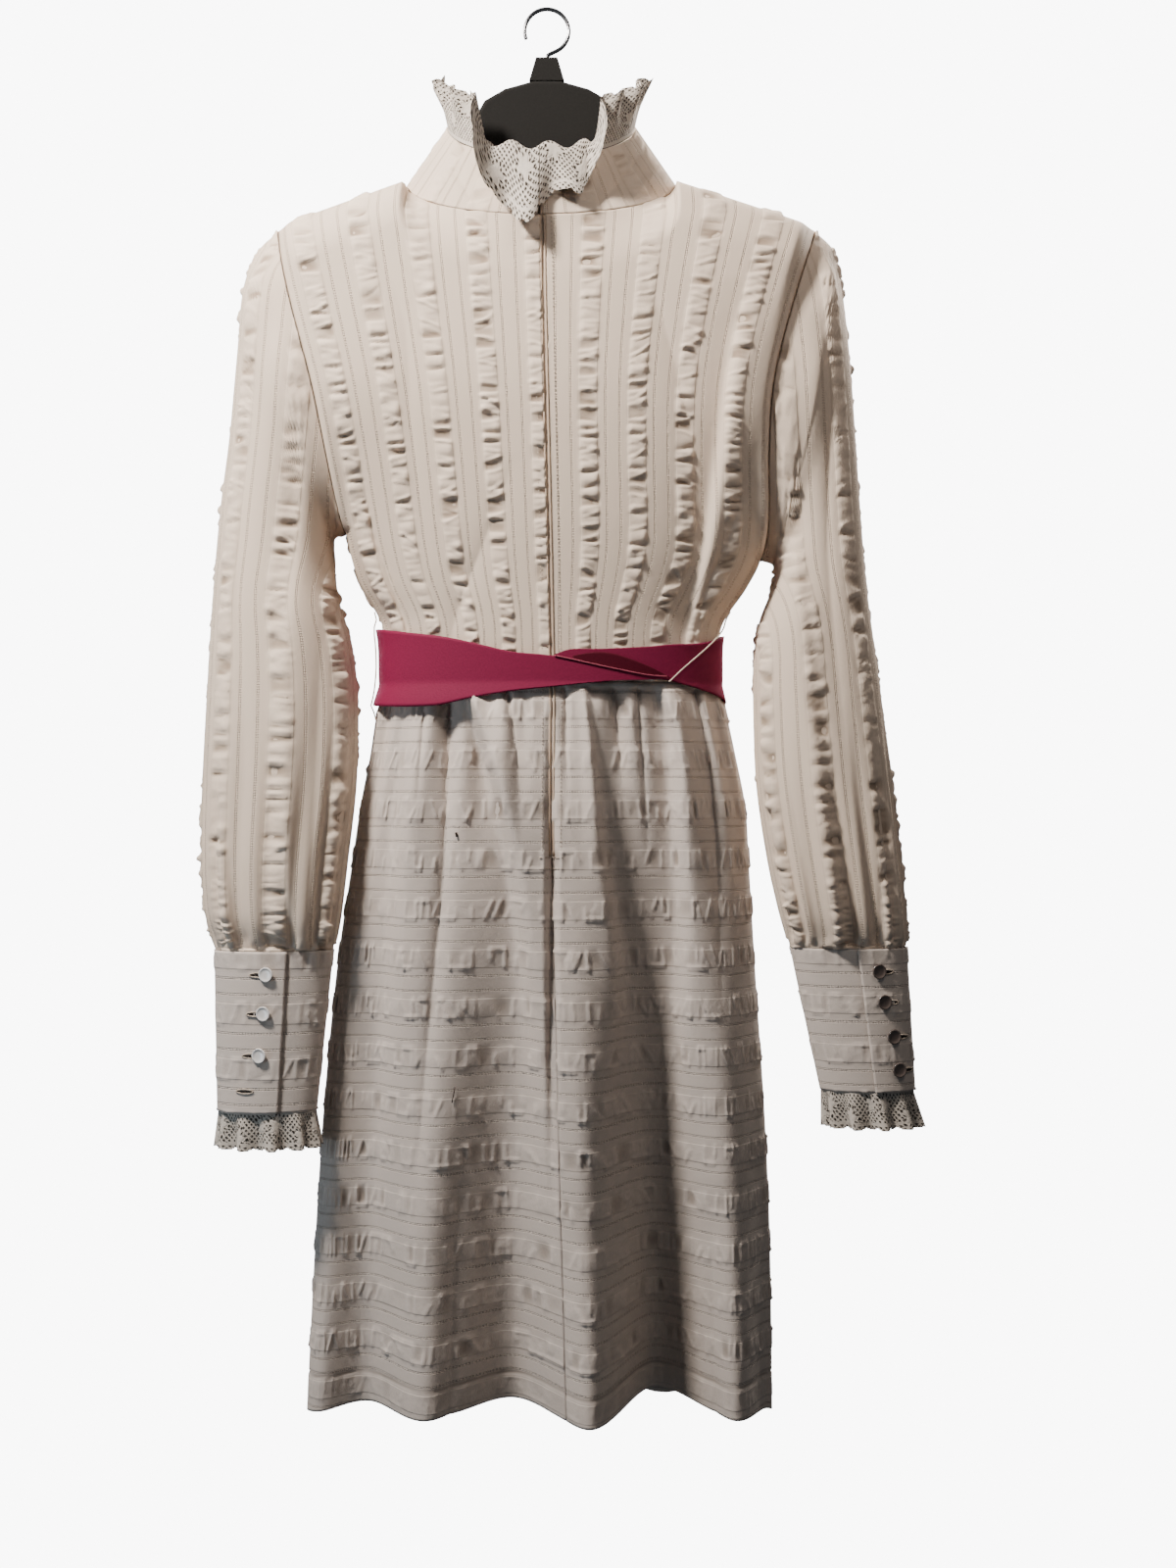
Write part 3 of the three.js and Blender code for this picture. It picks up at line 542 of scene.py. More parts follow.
SKIRT_CREASES = [
    ("edge", [(508, -100, 2, 4), (560, -103, 5, 5), (660, -109, 5, 7), (800, -117, 4, 9),
              (950, -125, 0, 12)]),
    ("valley", [(508, -70, 5, 4), (560, -70, 6, 5), (640, -73, 5, 8), (760, -84, 4, 10),
                (900, -96, 0, 12)]),
    ("edge", [(508, -56, 2, 3), (530, -49, 8, 4), (590, -32, 9, 5), (640, -22, 8, 5), (700, -14, 7, 6),
              (780, -6, 5, 9), (900, 2, 0, 12)]),
    ("valley", [(508, -27, 4, 3), (540, -22, 4, 4), (580, -18, 1, 5), (620, -16, 0, 6)]),
    ("edge", [(508, 30, -3, 3), (560, 36, -4, 3), (620, 42, -5, 4), (680, 51, -6, 4), (740, 54, -5, 5),
              (800, 48, -3, 8), (900, 42, 0, 12)]),
    ("edge", [(508, 82, 3, 4), (540, 92, 6, 4), (600, 95, 6, 5), (680, 99, 5, 6), (760, 97, 4, 8),
              (900, 100, 0, 10)]),
    ("valley", [(508, 66, 4, 3), (540, 68, 4, 4), (590, 72, 2, 6), (640, 74, 0, 8)]),
    ("valley", [(508, 108, 4, 4), (560, 118, 5, 5), (640, 124, 3, 8), (760, 128, 0, 10)]),
    ("valley", [(508, -86, 3, 3), (540, -88, 3, 4), (600, -92, 0, 6)]),
    ("valley", [(508, 14, 3, 3), (540, 15, 3, 4), (590, 16, 0, 6)]),
    ("valley", [(508, 48, 3, 3), (540, 52, 3, 4), (580, 56, 0, 6)]),
    ("valley", [(820, -60, 0, 14), (920, -66, 4, 16), (1032, -70, 6, 18)]),
    ("valley", [(860, 120, 0, 14), (960, 122, 4, 14), (1032, 124, 6, 16)]),
]


def creased(creases, p):
    """How far the creases move each point outwards."""
    x, drop = p[..., 0], -p[..., 2]
    out = np.zeros_like(x)
    for kind, rows in creases:
        line = Table("drop x depth wide", rows)
        inside = (drop > rows[0][0]) & (drop < rows[-1][0] + 30)
        away, depth, wide = x - line("x", drop), line("depth", drop), line("wide", drop)
        if kind == "valley":
            move = -depth * np.exp(-np.abs(away) / wide)
        else:
            move = depth * np.tanh(away / wide) * np.exp(-np.abs(away) / (5 * wide))
        out += np.where(inside, move, 0)
    return out


def beside_zip(p):
    """Nought at the skirt's zip and one past its tape, so that no crease crosses it."""
    return smooth(np.abs(p[..., 0] - 5) / 6)


# Materials
class Shader:
    """A new material, with short ways to add its nodes and to join them."""

    def __init__(self, name):
        self.material = bpy.data.materials.new(name)
        self.material.use_nodes = True
        self.nodes = self.material.node_tree.nodes
        self.place = self.node("TexCoord").outputs["Object"]

    def node(self, kind):
        return self.nodes.new("ShaderNode" + kind)

    def wire(self, value, socket):
        if isinstance(value, bpy.types.NodeSocket):
            self.material.node_tree.links.new(value, socket)
        else:
            socket.default_value = value

    def maths(self, operation, a, b=0.0, clamp=False):
        node = self.node("Math")
        node.operation = operation
        node.use_clamp = clamp
        self.wire(a, node.inputs[0])
        self.wire(b, node.inputs[1])
        return node.outputs[0]

    def mix(self, share, a, b):
        node = self.node("Mix")
        node.data_type = "RGBA"
        self.wire(share, node.inputs[0])
        self.wire(a, node.inputs[6])
        self.wire(b, node.inputs[7])
        return node.outputs[2]

    def noise(self, scale, detail=3.0):
        node = self.node("TexNoise")
        node.inputs["Scale"].default_value = scale
        node.inputs["Detail"].default_value = detail
        self.wire(self.place, node.inputs["Vector"])
        return node.outputs["Fac"]

    def bump(self, height, strength, distance, below=None):
        node = self.node("Bump")
        node.inputs["Strength"].default_value = strength
        node.inputs["Distance"].default_value = distance
        self.wire(height, node.inputs["Height"])
        if below is not None:
            self.wire(below, node.inputs["Normal"])
        return node.outputs["Normal"]

    def relief(self):
        node = self.node("Attribute")
        node.attribute_name = "relief"
        return node.outputs["Fac"]

    def surface(self, base, normal, rough, gloss, metal=0.0, coat=0.0):
        values = {"Base Color": base, "Normal": normal, "Roughness": rough,
                  "Specular IOR Level": gloss, "Metallic": metal, "Coat Weight": coat}
        for name, value in values.items():
            self.wire(value, self.nodes["Principled BSDF"].inputs[name])
        return self.material


def scaled(colour, *shares):
    return tuple(min(c * share, 1) for c, share in zip(colour, shares)) + (1,)


LADDER = dict(middle=0.355, apart=0.014, wide=0.013, rungs=22)  # in pitches
TWILL = 44  # lines in a pitch


def cotton_material(name, tone, shade):
    """Cream cotton: twill, two ladder lines in each plain strip, and crinkled stripes, with painted
    highlight where the relief stands out and painted shade where it sinks.
    """
    graph = Shader(name)
    m, mix, bump = graph.maths, graph.mix, graph.bump
    coordinate = graph.node("UVMap")
    coordinate.uv_map = "cloth"
    split = graph.node("SeparateXYZ")
    graph.wire(coordinate.outputs[0], split.inputs[0])
    across, along = split.outputs[0], split.outputs[1]

    from_middle = m("ABSOLUTE", m("SUBTRACT", m("FRACT", m("ADD", across, 0.5)), 0.5))
    stripe = m("SUBTRACT", 1.0, m("MULTIPLY", m("SUBTRACT", from_middle, 0.175), 60.0), True)
    to_pair = m("ABSOLUTE", m("SUBTRACT", from_middle, LADDER["middle"]))
    to_ladder = m("ABSOLUTE", m("SUBTRACT", to_pair, LADDER["apart"]))
    ladder = m("SUBTRACT", 1.0, m("DIVIDE", to_ladder, LADDER["wide"]), True)
    beat = m("SINE", m("MULTIPLY", along, 2 * math.pi * LADDER["rungs"]))
    holes = m("MULTIPLY", ladder, m("ADD", m("MULTIPLY", beat, 0.45), 0.55))
    edge = m("SUBTRACT", 1.0, m("DIVIDE", m("ABSOLUTE", m("SUBTRACT", from_middle, 0.2)), 0.012), True)

    raised = graph.relief()
    dark = scaled(shade, 0.42, 0.38, 0.34)
    crest_highlight = scaled(tone, 1.2, 1.2, 1.2)
    base = mix(m("MULTIPLY", graph.noise(9.0, 4.0), 0.6), tone, shade)
    # The ladder's openwork holes are painted dark, as the shade seen through them.
    base = mix(m("MULTIPLY", holes, 0.55), base, dark)
    base = mix(m("MULTIPLY", edge, 0.18), base, dark)
    # Painted highlight where the relief stands out, and painted shade in its troughs, grooves and hollows.
    base = mix(m("MULTIPLY", m("MULTIPLY", raised, 0.5, True), 0.5), base, crest_highlight)
    base = mix(m("MULTIPLY", m("MULTIPLY", raised, -1.1, True), 0.75), base, dark)

    twill = m("SINE", m("MULTIPLY", m("ADD", across, along), 2 * math.pi * TWILL))
    normal = bump(twill, 0.12, 0.0004)
    normal = bump(graph.noise(260.0, 2.0), 0.25, 0.0006, normal)
    normal = bump(m("SUBTRACT", 1.0, holes), 0.6, 0.0012, normal)
    normal = bump(m("MULTIPLY", graph.noise(120.0), stripe), 0.35, 0.0015, normal)
    return graph.surface(base, normal, 0.85, 0.08)


def plain_material(name, colour, rough, metal=0.0, grain=0.1, scale=300.0, coat=0.0, gloss=0.5):
    graph = Shader(name)
    speckle = graph.noise(scale)
    base = graph.mix(speckle, scaled(colour, 0.75, 0.75, 0.75), colour)
    return graph.surface(base, graph.bump(speckle, grain, 0.0005), rough, gloss, metal, coat)


def lace_material(name, colour):
    """Uneven thread, sunk in the gaps by the relief, and painted near-black there as the shade seen through
    the lace's holes.
    """
    graph = Shader(name)
    speckle, raised = graph.noise(900.0), graph.relief()
    base = graph.mix(speckle, scaled(colour, 0.7, 0.7, 0.7), colour)
    # Painted shade: the gaps, which stand for the lace's holes, are made near-black.
    base = graph.mix(graph.maths("MULTIPLY", raised, -1.1, True), base, (0.03, 0.024, 0.02, 1))
    normal = graph.bump(raised, 0.5, 0.0008, graph.bump(speckle, 0.4, 0.0005))
    return graph.surface(base, normal, 0.9, 0.08)


COTTON = cotton_material("cotton", (0.66, 0.535, 0.43, 1), (0.58, 0.455, 0.355, 1))
# A darker, greyer copy of the cotton for the skirt and cuffs, as painted shade of the light falling off
# downwards.
COTTON_PAINTED_SHADE = cotton_material("cotton_painted_shade", (0.55, 0.475, 0.42, 1), (0.48, 0.405, 0.355, 1))
LACE_THREAD = lace_material("lace", (0.6, 0.53, 0.46, 1))
SATIN = plain_material("satin", (0.195, 0.0115, 0.046, 1), 0.65, grain=0.25, scale=700.0, gloss=0.12)
BLACK = plain_material("black_plastic", (0.015, 0.014, 0.013, 1), 0.8, grain=0.15, scale=700.0, gloss=0.05)
STEEL = plain_material("steel", (0.3, 0.3, 0.31, 1), 0.25, metal=1.0, grain=0.02)
# A lighter copy of the satin, for a painted highlight along the sash's edge.
SATIN_PAINTED_HIGHLIGHT = plain_material("satin_painted_highlight", (0.42, 0.09, 0.13, 1), 0.6, grain=0.2, scale=700.0, gloss=0.1)
# A darker copy of the satin, for painted shade on the ribbon's reverse.
SATIN_PAINTED_SHADE = plain_material("satin_painted_shade", (0.07, 0.003, 0.012, 1), 0.7, grain=0.2, scale=700.0, gloss=0.1)
THREAD = plain_material("thread", (0.5, 0.41, 0.33, 1), 0.9, grain=0.3, scale=1500.0, gloss=0.1)
# Near-black: painted shade in the buttonhole slits, and the own colour of the stray marks on the skirt.
PAINTED_SHADE_AND_DARK_MARKS = plain_material("buttonhole_shade", (0.03, 0.022, 0.018, 1), 0.95, gloss=0.0)
ZIP_EDGE = plain_material("zip_edge", (0.56, 0.42, 0.31, 1), 0.85, grain=0.3, scale=900.0, gloss=0.1)
PEARL_PAINTED_SHADE = plain_material("pearl_in_shade", (0.1, 0.075, 0.065, 1), 0.3, grain=0.05, scale=90.0, coat=0.3)
PEARL = plain_material("pearl", (0.72, 0.68, 0.65, 1), 0.15, grain=0.05, scale=90.0, coat=0.6)
ZIP = plain_material("zip_nylon", (0.46, 0.36, 0.28, 1), 0.6, grain=0.4, scale=600.0)


def dress_up(piece, material, slot, *nodes):
    piece.data.materials.clear()
    piece.data.materials.append(material)
    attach(piece, "root")
    if nodes:
        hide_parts(*nodes)
    return piece


# Spacings of a shell's outer points, across its creases and along them
FINE = dict(across=1.25, along=1.85)
COARSE = dict(across=2.9, along=3.6)
SEAM_GAP = 0.4
SEAM_OUT = 0.15  # how far the cloth stands out of the outline

# Bodice
BODICE_LONG = 372
BODICE_HALF = 184  # half the width of the back's cloth
STRIPE_AT = {"back_left": -5, "back_right": 34, "front": 15}
ZIP_CLEAR = 0.55  # degrees from the centre back to a folded edge beside the zip


def bodice_columns(angle_of, first_stripe, front):
    def at(u, v):
        angle = angle_of(u)
        top, _ = bodice_top(angle)
        drop = lerp(top, WAIST_DROP - SEAM_GAP, 1 - v)
        p = bodice_point(angle, drop)
        side = 1 if front else -1
        fade = smooth((drop - top) / 40) * smooth((1 - np.abs(sind(angle))) / 0.04)
        p[..., 1] += side * (SEAM_OUT + creased(BODICE_CREASES, p) * fade)
        return p

    def cloth(u, v):
        angle = angle_of(u)
        top, _ = bodice_top(angle)
        drop = lerp(top, WAIST_DROP - SEAM_GAP, 1 - v)
        across = np.where(cosd(angle) >= 0, sind(angle), 2 * np.sign(sind(angle)) - sind(angle))
        return pair((across * BODICE_HALF - first_stripe) / PITCH, -drop / PITCH)

    return at, cloth


def make_bodice():
    spans = {
        "back_right": (lambda u: np.degrees(np.arcsin(lerp(sind(ZIP_CLEAR), 1, u))), 200, FINE),
        "back_left": (lambda u: -np.degrees(np.arcsin(lerp(1, sind(ZIP_CLEAR), u))), 200, FINE),
        "front": (lambda u: lerp(90.001, 269.999, u), 400, COARSE),
    }
    for seed, (name, (angle_of, wide, step)) in enumerate(spans.items()):
        at, cloth = bodice_columns(angle_of, STRIPE_AT[name], name == "front")
        columns, rows = int(wide / step["along"]), int(BODICE_LONG / step["across"])
        piece = shell(f"bodice_{name}_cloth", columns, rows, at, CLOTH, puckers(seed + 1, 1.65), cloth)
        dress_up(piece, COTTON, "cotton", f"bodice_{name}")


# Skirt: its cloth in millimetres a degree, as its pattern runs and as cut, with what its gathers take up
SKIRT_LONG = 530
SKIRT_DEGREE = 2.4
SKIRT_CUT_DEGREE = 2.5
SKIRT_SPANS = {
    "back_right": (0.1, 90, FINE), "back_left": (-90, -0.1, FINE), "front": (90.001, 269.999, COARSE),
}


def make_skirt():
    for seed, (name, (start, end, step)) in enumerate(SKIRT_SPANS.items()):
        side = -1 if name != "front" else 1

        def at(u, v, start=start, end=end, side=side):
            angle = lerp(start, end, u)
            p = skirt_point(angle, lerp(WAIST_DROP, hem_drop(angle), 1 - v))
            fade = smooth((1 - np.abs(sind(angle))) / 0.04) * beside_zip(p)
            p[..., 1] += side * (SEAM_OUT + creased(SKIRT_CREASES, p) * fade * CREASE_DEPTH)
            return p

        def cloth(u, v, start=start, end=end):
            angle = lerp(start, end, u)
            drop = lerp(WAIST_DROP, hem_drop(angle), 1 - v)
            return pair((drop - SKIRT_FIRST_STRIPE) / SKIRT_PITCH, angle * SKIRT_DEGREE / PITCH)

        wide = (end - start) * SKIRT_CUT_DEGREE
        columns, rows = int(wide / step["across"]), int(SKIRT_LONG / step["along"])
        piece = shell(f"skirt_{name}_cloth", columns, rows, at, CLOTH, strokes(seed + 11, 1.2), cloth)
        dress_up(piece, COTTON_PAINTED_SHADE, "cotton", f"skirt_{name}")


# Collar
def collar_point(angle, v):
    back = cosd(angle) >= 0
    c = np.abs(cosd(angle))
    dip = np.where(back, NECK["back_dip"], NECK["front_dip"])
    base = points(NECK["centre"] + NECK["half"] * sind(angle),
                  np.where(back, -NECK["back"] * c, NECK["front"] * c),
                  -(SHOULDER_NECK_DROP + c * dip) + 0.6)
    dip = np.where(back, COLLAR_TOP["back_dip"], COLLAR_TOP["front_dip"])
    top = points(NECK["centre"] + COLLAR_TOP["half"] * sind(angle),
                 np.where(back, -COLLAR_TOP["back"] * c, COLLAR_TOP["front"] * c),
                 -(COLLAR_TOP["drop"] + c * dip))
    return lerp(base, top, np.asarray(v)[..., None])


def collar_angle(u):
    return lerp(1.3, 359.4, u)


COLLAR_CREASES = [
    ("valley", [(116, -76, 0, 4), (132, -66, 2.5, 5), (152, -54, 2.5, 6), (170, -43, 0, 6)]),
    ("valley", [(112, -60, 0, 4), (130, -50, 1.8, 5), (152, -35, 0, 6)]),
    ("valley", [(108, 72, 0, 4), (130, 60, 2.5, 5), (150, 46, 2.5, 6), (170, 32, 0, 6)]),
    ("edge", [(114, 88, 0, 4), (134, 72, 2, 4), (152, 58, 0, 5)]),
]
COLLAR_CLOTH = dict(long=500, first=0.3, high=1.3)
# The collar sinks behind the fallen lace, and its sunk relief is darkened there as painted shade.
HIDDEN = dict(start=-26, end=28, edge=5, above=0.3, depth=1.3)  # the collar behind the fallen lace


def make_collar():
    def at(u, v):
        angle = collar_angle(u)
        p = collar_point(angle, v)
        p[..., 1] -= creased(COLLAR_CREASES, p) * smooth(cosd(angle) / 0.3)
        return p

    def cloth(u, v):
        long, first, high = COLLAR_CLOTH.values()
        return pair(u * long / PITCH + first, v * high)

    def relief(s, along):
        """Puckers, and the hollow behind the fallen lace, which the cotton darkens there as painted shade.
        """
        long, first, high = COLLAR_CLOTH.values()
        angle = collar_angle((s - first) * PITCH / long)
        turned = np.where(angle > 180, angle - 360, angle)
        start, end, edge = HIDDEN["start"], HIDDEN["end"], HIDDEN["edge"]
        behind = smooth((turned - start) / edge) * smooth((end - turned) / edge)
        behind = behind * smooth((along / high - HIDDEN["above"]) / 0.2)
        return puckers(21, 1.0)(s, along) - HIDDEN["depth"] * behind

    piece = shell("collar_cloth", 312, 39, at, CLOTH, relief, cloth)
    dress_up(piece, COTTON, "cotton", "collar")


# Lace: close thread with flowers, small gaps round them painted dark as shade, and a scalloped edge
NET = dict(cell=0.68, mesh=3.9, hole=2.1, flower=24.0, petals=5, scallop=12.0)


def lace_height(x, y, width):
    """The relief of the flat lace, minus one in its gaps: x runs along it and y out to its edge."""
    gap = (np.mod(x + y, NET["mesh"]) < NET["hole"]) & (np.mod(x - y, NET["mesh"]) < NET["hole"])
    middle = np.floor(x / NET["flower"]) % 2 * 0.3 + 0.38
    dx = np.mod(x, NET["flower"]) - NET["flower"] / 2
    dy = y - width * middle
    turn, reach = np.arctan2(dy, dx), np.hypot(dx, dy)
    petal = 5.4 + 1.6 * np.cos(NET["petals"] * turn)
    ring = (np.abs(reach - petal - 1.6) < 1.1) & (np.mod(turn * 8 / math.pi, 1) < 0.55)
    solid = (y < 3) | (np.abs(y - width * 0.86) < 1.1) | (reach < petal + 3.2)
    cord = np.exp(-(((reach - petal) / 0.6) ** 2)) + 0.5 * np.exp(-((reach / 2) ** 2))
    return np.where(gap & ~solid | ring, -1.0, 0.8 * cord)


def lace_sheet(name, length, width, at):
    cell = NET["cell"]
    columns, rows = int(length / cell), int(width / cell)
    u, v = np.meshgrid(np.arange(columns + 1) / columns, np.arange(rows + 1) / rows)
    verts = at(u, v).reshape(-1, 3)
    i, j = np.meshgrid(np.arange(columns), np.arange(rows))
    edge = width * (0.93 + 0.07 * np.abs(np.sin(math.pi * i * cell / NET["scallop"])))
    keep = j * cell < edge
    a = j * (columns + 1) + i
    faces = np.stack([a, a + 1, a + columns + 2, a + columns + 1], -1)[keep]
    used, corners = np.unique(faces, return_inverse=True)
    height = lace_height(u * length, v * width, width).ravel()[used]
    return link_mesh(name, verts[used], corners.reshape(-1, 4).tolist(), relief=height)


def collar_lace_point(u, v):
    angle = lerp(0.2, 359.8, u)
    turned = np.where(angle > 180, angle - 360, angle)
    hanging = np.radians(lace_turn("turn", turned))
    s = v * lace_width("width", turned)
    now = np.minimum(s / COLLAR_LACE["turn"], hanging)
    straight = s - now * COLLAR_LACE["turn"]
    wave = np.sin(np.radians(COLLAR_LACE["waves"] * angle)) * COLLAR_LACE["ruffle"] * v * smooth(v)
    out = COLLAR_LACE["turn"] * (1 - np.cos(now)) + straight * np.sin(now) + wave * np.cos(now)
    up = COLLAR_LACE["turn"] * np.sin(now) + straight * np.cos(now) - wave * np.sin(now)
    ripple = COLLAR_LACE["ripple"] * sind(COLLAR_LACE["ripples"] * angle)
    up = up + ripple * smooth(np.degrees(hanging) / 60 - 1.5) + 0.6
    return collar_point(angle, np.ones_like(u)) + points(sind(angle) * out, -cosd(angle) * out, up)


def cuff_ring(side, angle, v):
    top, bottom = CUFFS[side]["top"], CUFFS[side]["bottom"]
    half = lerp(bottom[1], top[1], v)
    depth = lerp(CUFF["bottom_depth"], CUFF["top_depth"], v)
    centre = points(lerp(bottom[0], top[0], v), CUFF["y"], -lerp(bottom[2], top[2], v))
    return centre, points(half * sind(angle), -depth * cosd(angle), 0)


def make_lace():
    piece = lace_sheet("collar_lace_net", 600, 44, collar_lace_point)
    dress_up(piece, LACE_THREAD, "lace", "collar_lace")
    for side in ("left", "right"):
        def at(u, v, side=side):
            v = 1 - v
            centre, out = cuff_ring(side, 360 * u, 0)
            wave = CUFF_LACE["ruffle"] * np.sin(np.radians(CUFF_LACE["waves"] * 360 * u)) * (1 - v)
            p = centre + out + unit(out) * (CUFF_LACE["flare"] * (1 - v) - 0.6 + wave)[..., None]
            p[..., 0] += CUFF_LACE_SHIFT[side] * (1 - v)
            p[..., 2] -= (CUFF_LACE["width"] + CUFF_LACE["tuck"]) * (1 - v) - CUFF_LACE["tuck"]
            return p

        piece = lace_sheet(f"cuff_lace_{side}_net", 300, 28, at)
        dress_up(piece, LACE_THREAD, "lace", f"cuff_lace_{side}")


# Sleeves and cuffs
def sleeve_section(side, row, angle):
    hand = -1 if side == "left" else 1
    if row == 0:
        armpit = ARMPIT_DROP[side]
        drop = (SHOULDER_TIP_DROP + armpit) / 2 - (armpit - SHOULDER_TIP_DROP) / 2 * cosd(angle)
        p = bodice_point(np.full_like(angle, 90.0 * hand), drop)
        p[..., 1] = np.abs(p[..., 1]) * np.where(sind(angle) < 0, 1, -1)
        p[..., 0] += hand * 0.5
        return p
    rows = SLEEVE_ROWS[side]
    if row > len(rows):
        centre, out = cuff_ring(side, hand * (90 - angle), np.ones_like(angle))
        return centre + out + np.array([0, 0, 0.4])
    out_x, out_drop, in_x, in_drop, depth, y = rows[row - 1]
    c = cosd(angle)
    return points((out_x + in_x) / 2 + (out_x - in_x) / 2 * c, y - depth * sind(angle),
                  -((out_drop + in_drop) / 2 + (out_drop - in_drop) / 2 * c))


def sleeve_point(side, u, v):
    hand = -1 if side == "left" else 1
    count = len(SLEEVE_ROWS[side]) + 1
    angle = -hand * 360 * u
    place = (1 - v) * count
    rings = np.stack([sleeve_section(side, k, angle) for k in range(count + 1)])
    k = np.clip(np.floor(place).astype(int), 0, count - 1)
    t = (place - k)[..., None]
    j, i = np.indices(k.shape)
    slope = np.gradient(rings, axis=0)
    a, b = rings[k, j, i], rings[k + 1, j, i]
    bend = t * (1 - t) * ((1 - t) * slope[k, j, i] - t * slope[k + 1, j, i])
    p = a + (b - a) * t * t * (3 - 2 * t) + bend
    near_cap = np.exp(-(((place - 1) / 1.2) ** 2)) * smooth((cosd(angle) + 0.3) / 0.8)
    near_cuff = smooth((place - 7) / 2) * smooth(count - place)
    wave = cosd(SLEEVE_GATHERS["around"] * angle)
    pleats = 0.4 - 1.3 * np.abs(cosd(SLEEVE_GATHERS["around"] * angle + 25 * sind(2 * angle))) ** 3
    out = SLEEVE_GATHERS["depth"] * (wave * near_cap * 0.6 * smooth(place) + pleats * near_cuff)
    p[..., 0] += out * hand * cosd(angle)
    p[..., 1] -= out * sind(angle)
    return p


SLEEVE_STRIPES = 3.5  # from the outer edge to the inner
SLEEVE_FIRST = 0.12
CUFF_CLOTH = dict(high=116, long=230, first=0.2)


def sleeve_cloth(side, columns_angle, p):
    """Stripes that run down the sleeve, beside its outer edge, with a seam on the inner edge."""
    hand = -1 if side == "left" else 1
    rows = SLEEVE_ROWS[side]
    outer = Table("drop x", [(r[1], r[0]) for r in rows])
    inner = Table("drop x", [(r[3], r[2]) for r in rows])
    drop = -p[..., 2]
    outer_x = outer("x", drop)
    first = rows[0][3]
    inner_x = np.where(drop > first, inner("x", drop), outer_x - hand * 100)
    inner_x = lerp(outer_x - hand * 100, inner_x, smooth((drop - first) / 80))
    t = np.clip((2 * p[..., 0] - outer_x - inner_x) / (outer_x - inner_x), -1, 1)
    turn = np.arccos(t) / math.pi * SLEEVE_STRIPES
    across = np.where(sind(columns_angle) >= 0, turn, -turn) + SLEEVE_FIRST
    return pair(across, -drop / PITCH)


SLEEVE_CREASES = {
    "left": [
        ("valley", [(200, -214, 0, 5), (300, -216, 3, 6), (420, -222, 3, 7), (560, -214, 2, 8),
                    (686, -212, 3, 4)]),
        ("edge", [(300, -172, 0, 5), (400, -180, 4, 6), (520, -190, 4, 7), (640, -184, 5, 5),
                  (686, -178, 5, 3)]),
        ("valley", [(520, -232, 0, 6), (600, -228, 3, 6), (686, -219, 4, 3)]),
        ("valley", [(430, -160, 0, 6), (560, -163, 4, 7), (686, -168, 4, 3)]),
    ],
    "right": [
        ("valley", [(200, 196, 0, 5), (300, 205, 3, 6), (420, 204, 3, 7), (560, 214, 2, 8),
                    (686, 222, 3, 4)]),
        ("edge", [(260, 176, 0, 5), (380, 180, -4, 6), (520, 192, -4, 7), (640, 206, -5, 5),
                  (686, 212, -5, 3)]),
        ("valley", [(520, 238, 0, 6), (600, 240, 3, 6), (686, 240, 4, 3)]),
        ("valley", [(430, 164, 0, 6), (560, 172, 4, 7), (686, 194, 4, 3)]),
    ],
}


def make_sleeves():
    for seed, side in enumerate(("left", "right")):
        def at(u, v, side=side):
            p = sleeve_point(side, u, v)
            angle = (1 if side == "left" else -1) * 360 * u
            fade = smooth(v / 0.02) * smooth((1 - v) / 0.1) * sind(angle)
            p[..., 1] -= creased(SLEEVE_CREASES[side], p) * fade
            return p

        def cloth(u, v, side=side):
            return sleeve_cloth(side, (1 if side == "left" else -1) * 360 * u, sleeve_point(side, u, v))

        piece = shell(f"sleeve_{side}_cloth", 159, 318, at, CLOTH, puckers(seed + 31, 1.6), cloth, True)
        dress_up(piece, COTTON, "cotton", f"sleeve_{side}")

        def cuff_at(u, v, side=side):
            cuff = CUFFS[side]
            from_lap = 1 - u if cuff["lifted"] == "end" else u
            lift = 1 - smooth((from_lap - CUFF["lap"]) / 0.2)
            centre, out = cuff_ring(side, lerp(*cuff["turns"], u), v)
            return centre + out + unit(out) * (CUFF["lift"] * lift)[..., None]

        def cuff_cloth(u, v):
            high, long, first = CUFF_CLOTH.values()
            return pair(v * high / PITCH + first, u * long / PITCH)

        piece = shell(f"cuff_{side}_cloth", 159, 66, cuff_at, CLOTH, strokes(seed + 41, 0.9), cuff_cloth)
        dress_up(piece, COTTON_PAINTED_SHADE, "cotton", f"cuff_{side}")


# Ribbon sash
def off_ring(angle, drop, off):
    size_points = []
    for size in (bodice_size, skirt_size):
        along = ring_point(size, angle + 0.5, drop) - ring_point(size, angle - 0.5, drop)
        away = unit(points(along[..., 1], -along[..., 0], 0))
        size_points.append(ring_point(size, angle, drop) + away * off)
    return np.where((np.asarray(drop) < WAIST_DROP)[..., None], *size_points)


def make_sash():
    for side, (start, end, off) in RIBBON_RUN.items():
        edges = RIBBON_EDGES[side]

        def at(u, v, start=start, end=end, off=off, edges=edges):
            angle = lerp(start, end, u)
            return off_ring(angle, lerp(edges("bottom", angle), edges("top", angle), v), off)

        piece = shell(f"sash_{side}_ribbon", 150 if side == "left" else 240, 24, at, RIBBON)
        dress_up(piece, SATIN, "satin", f"sash_{side}")


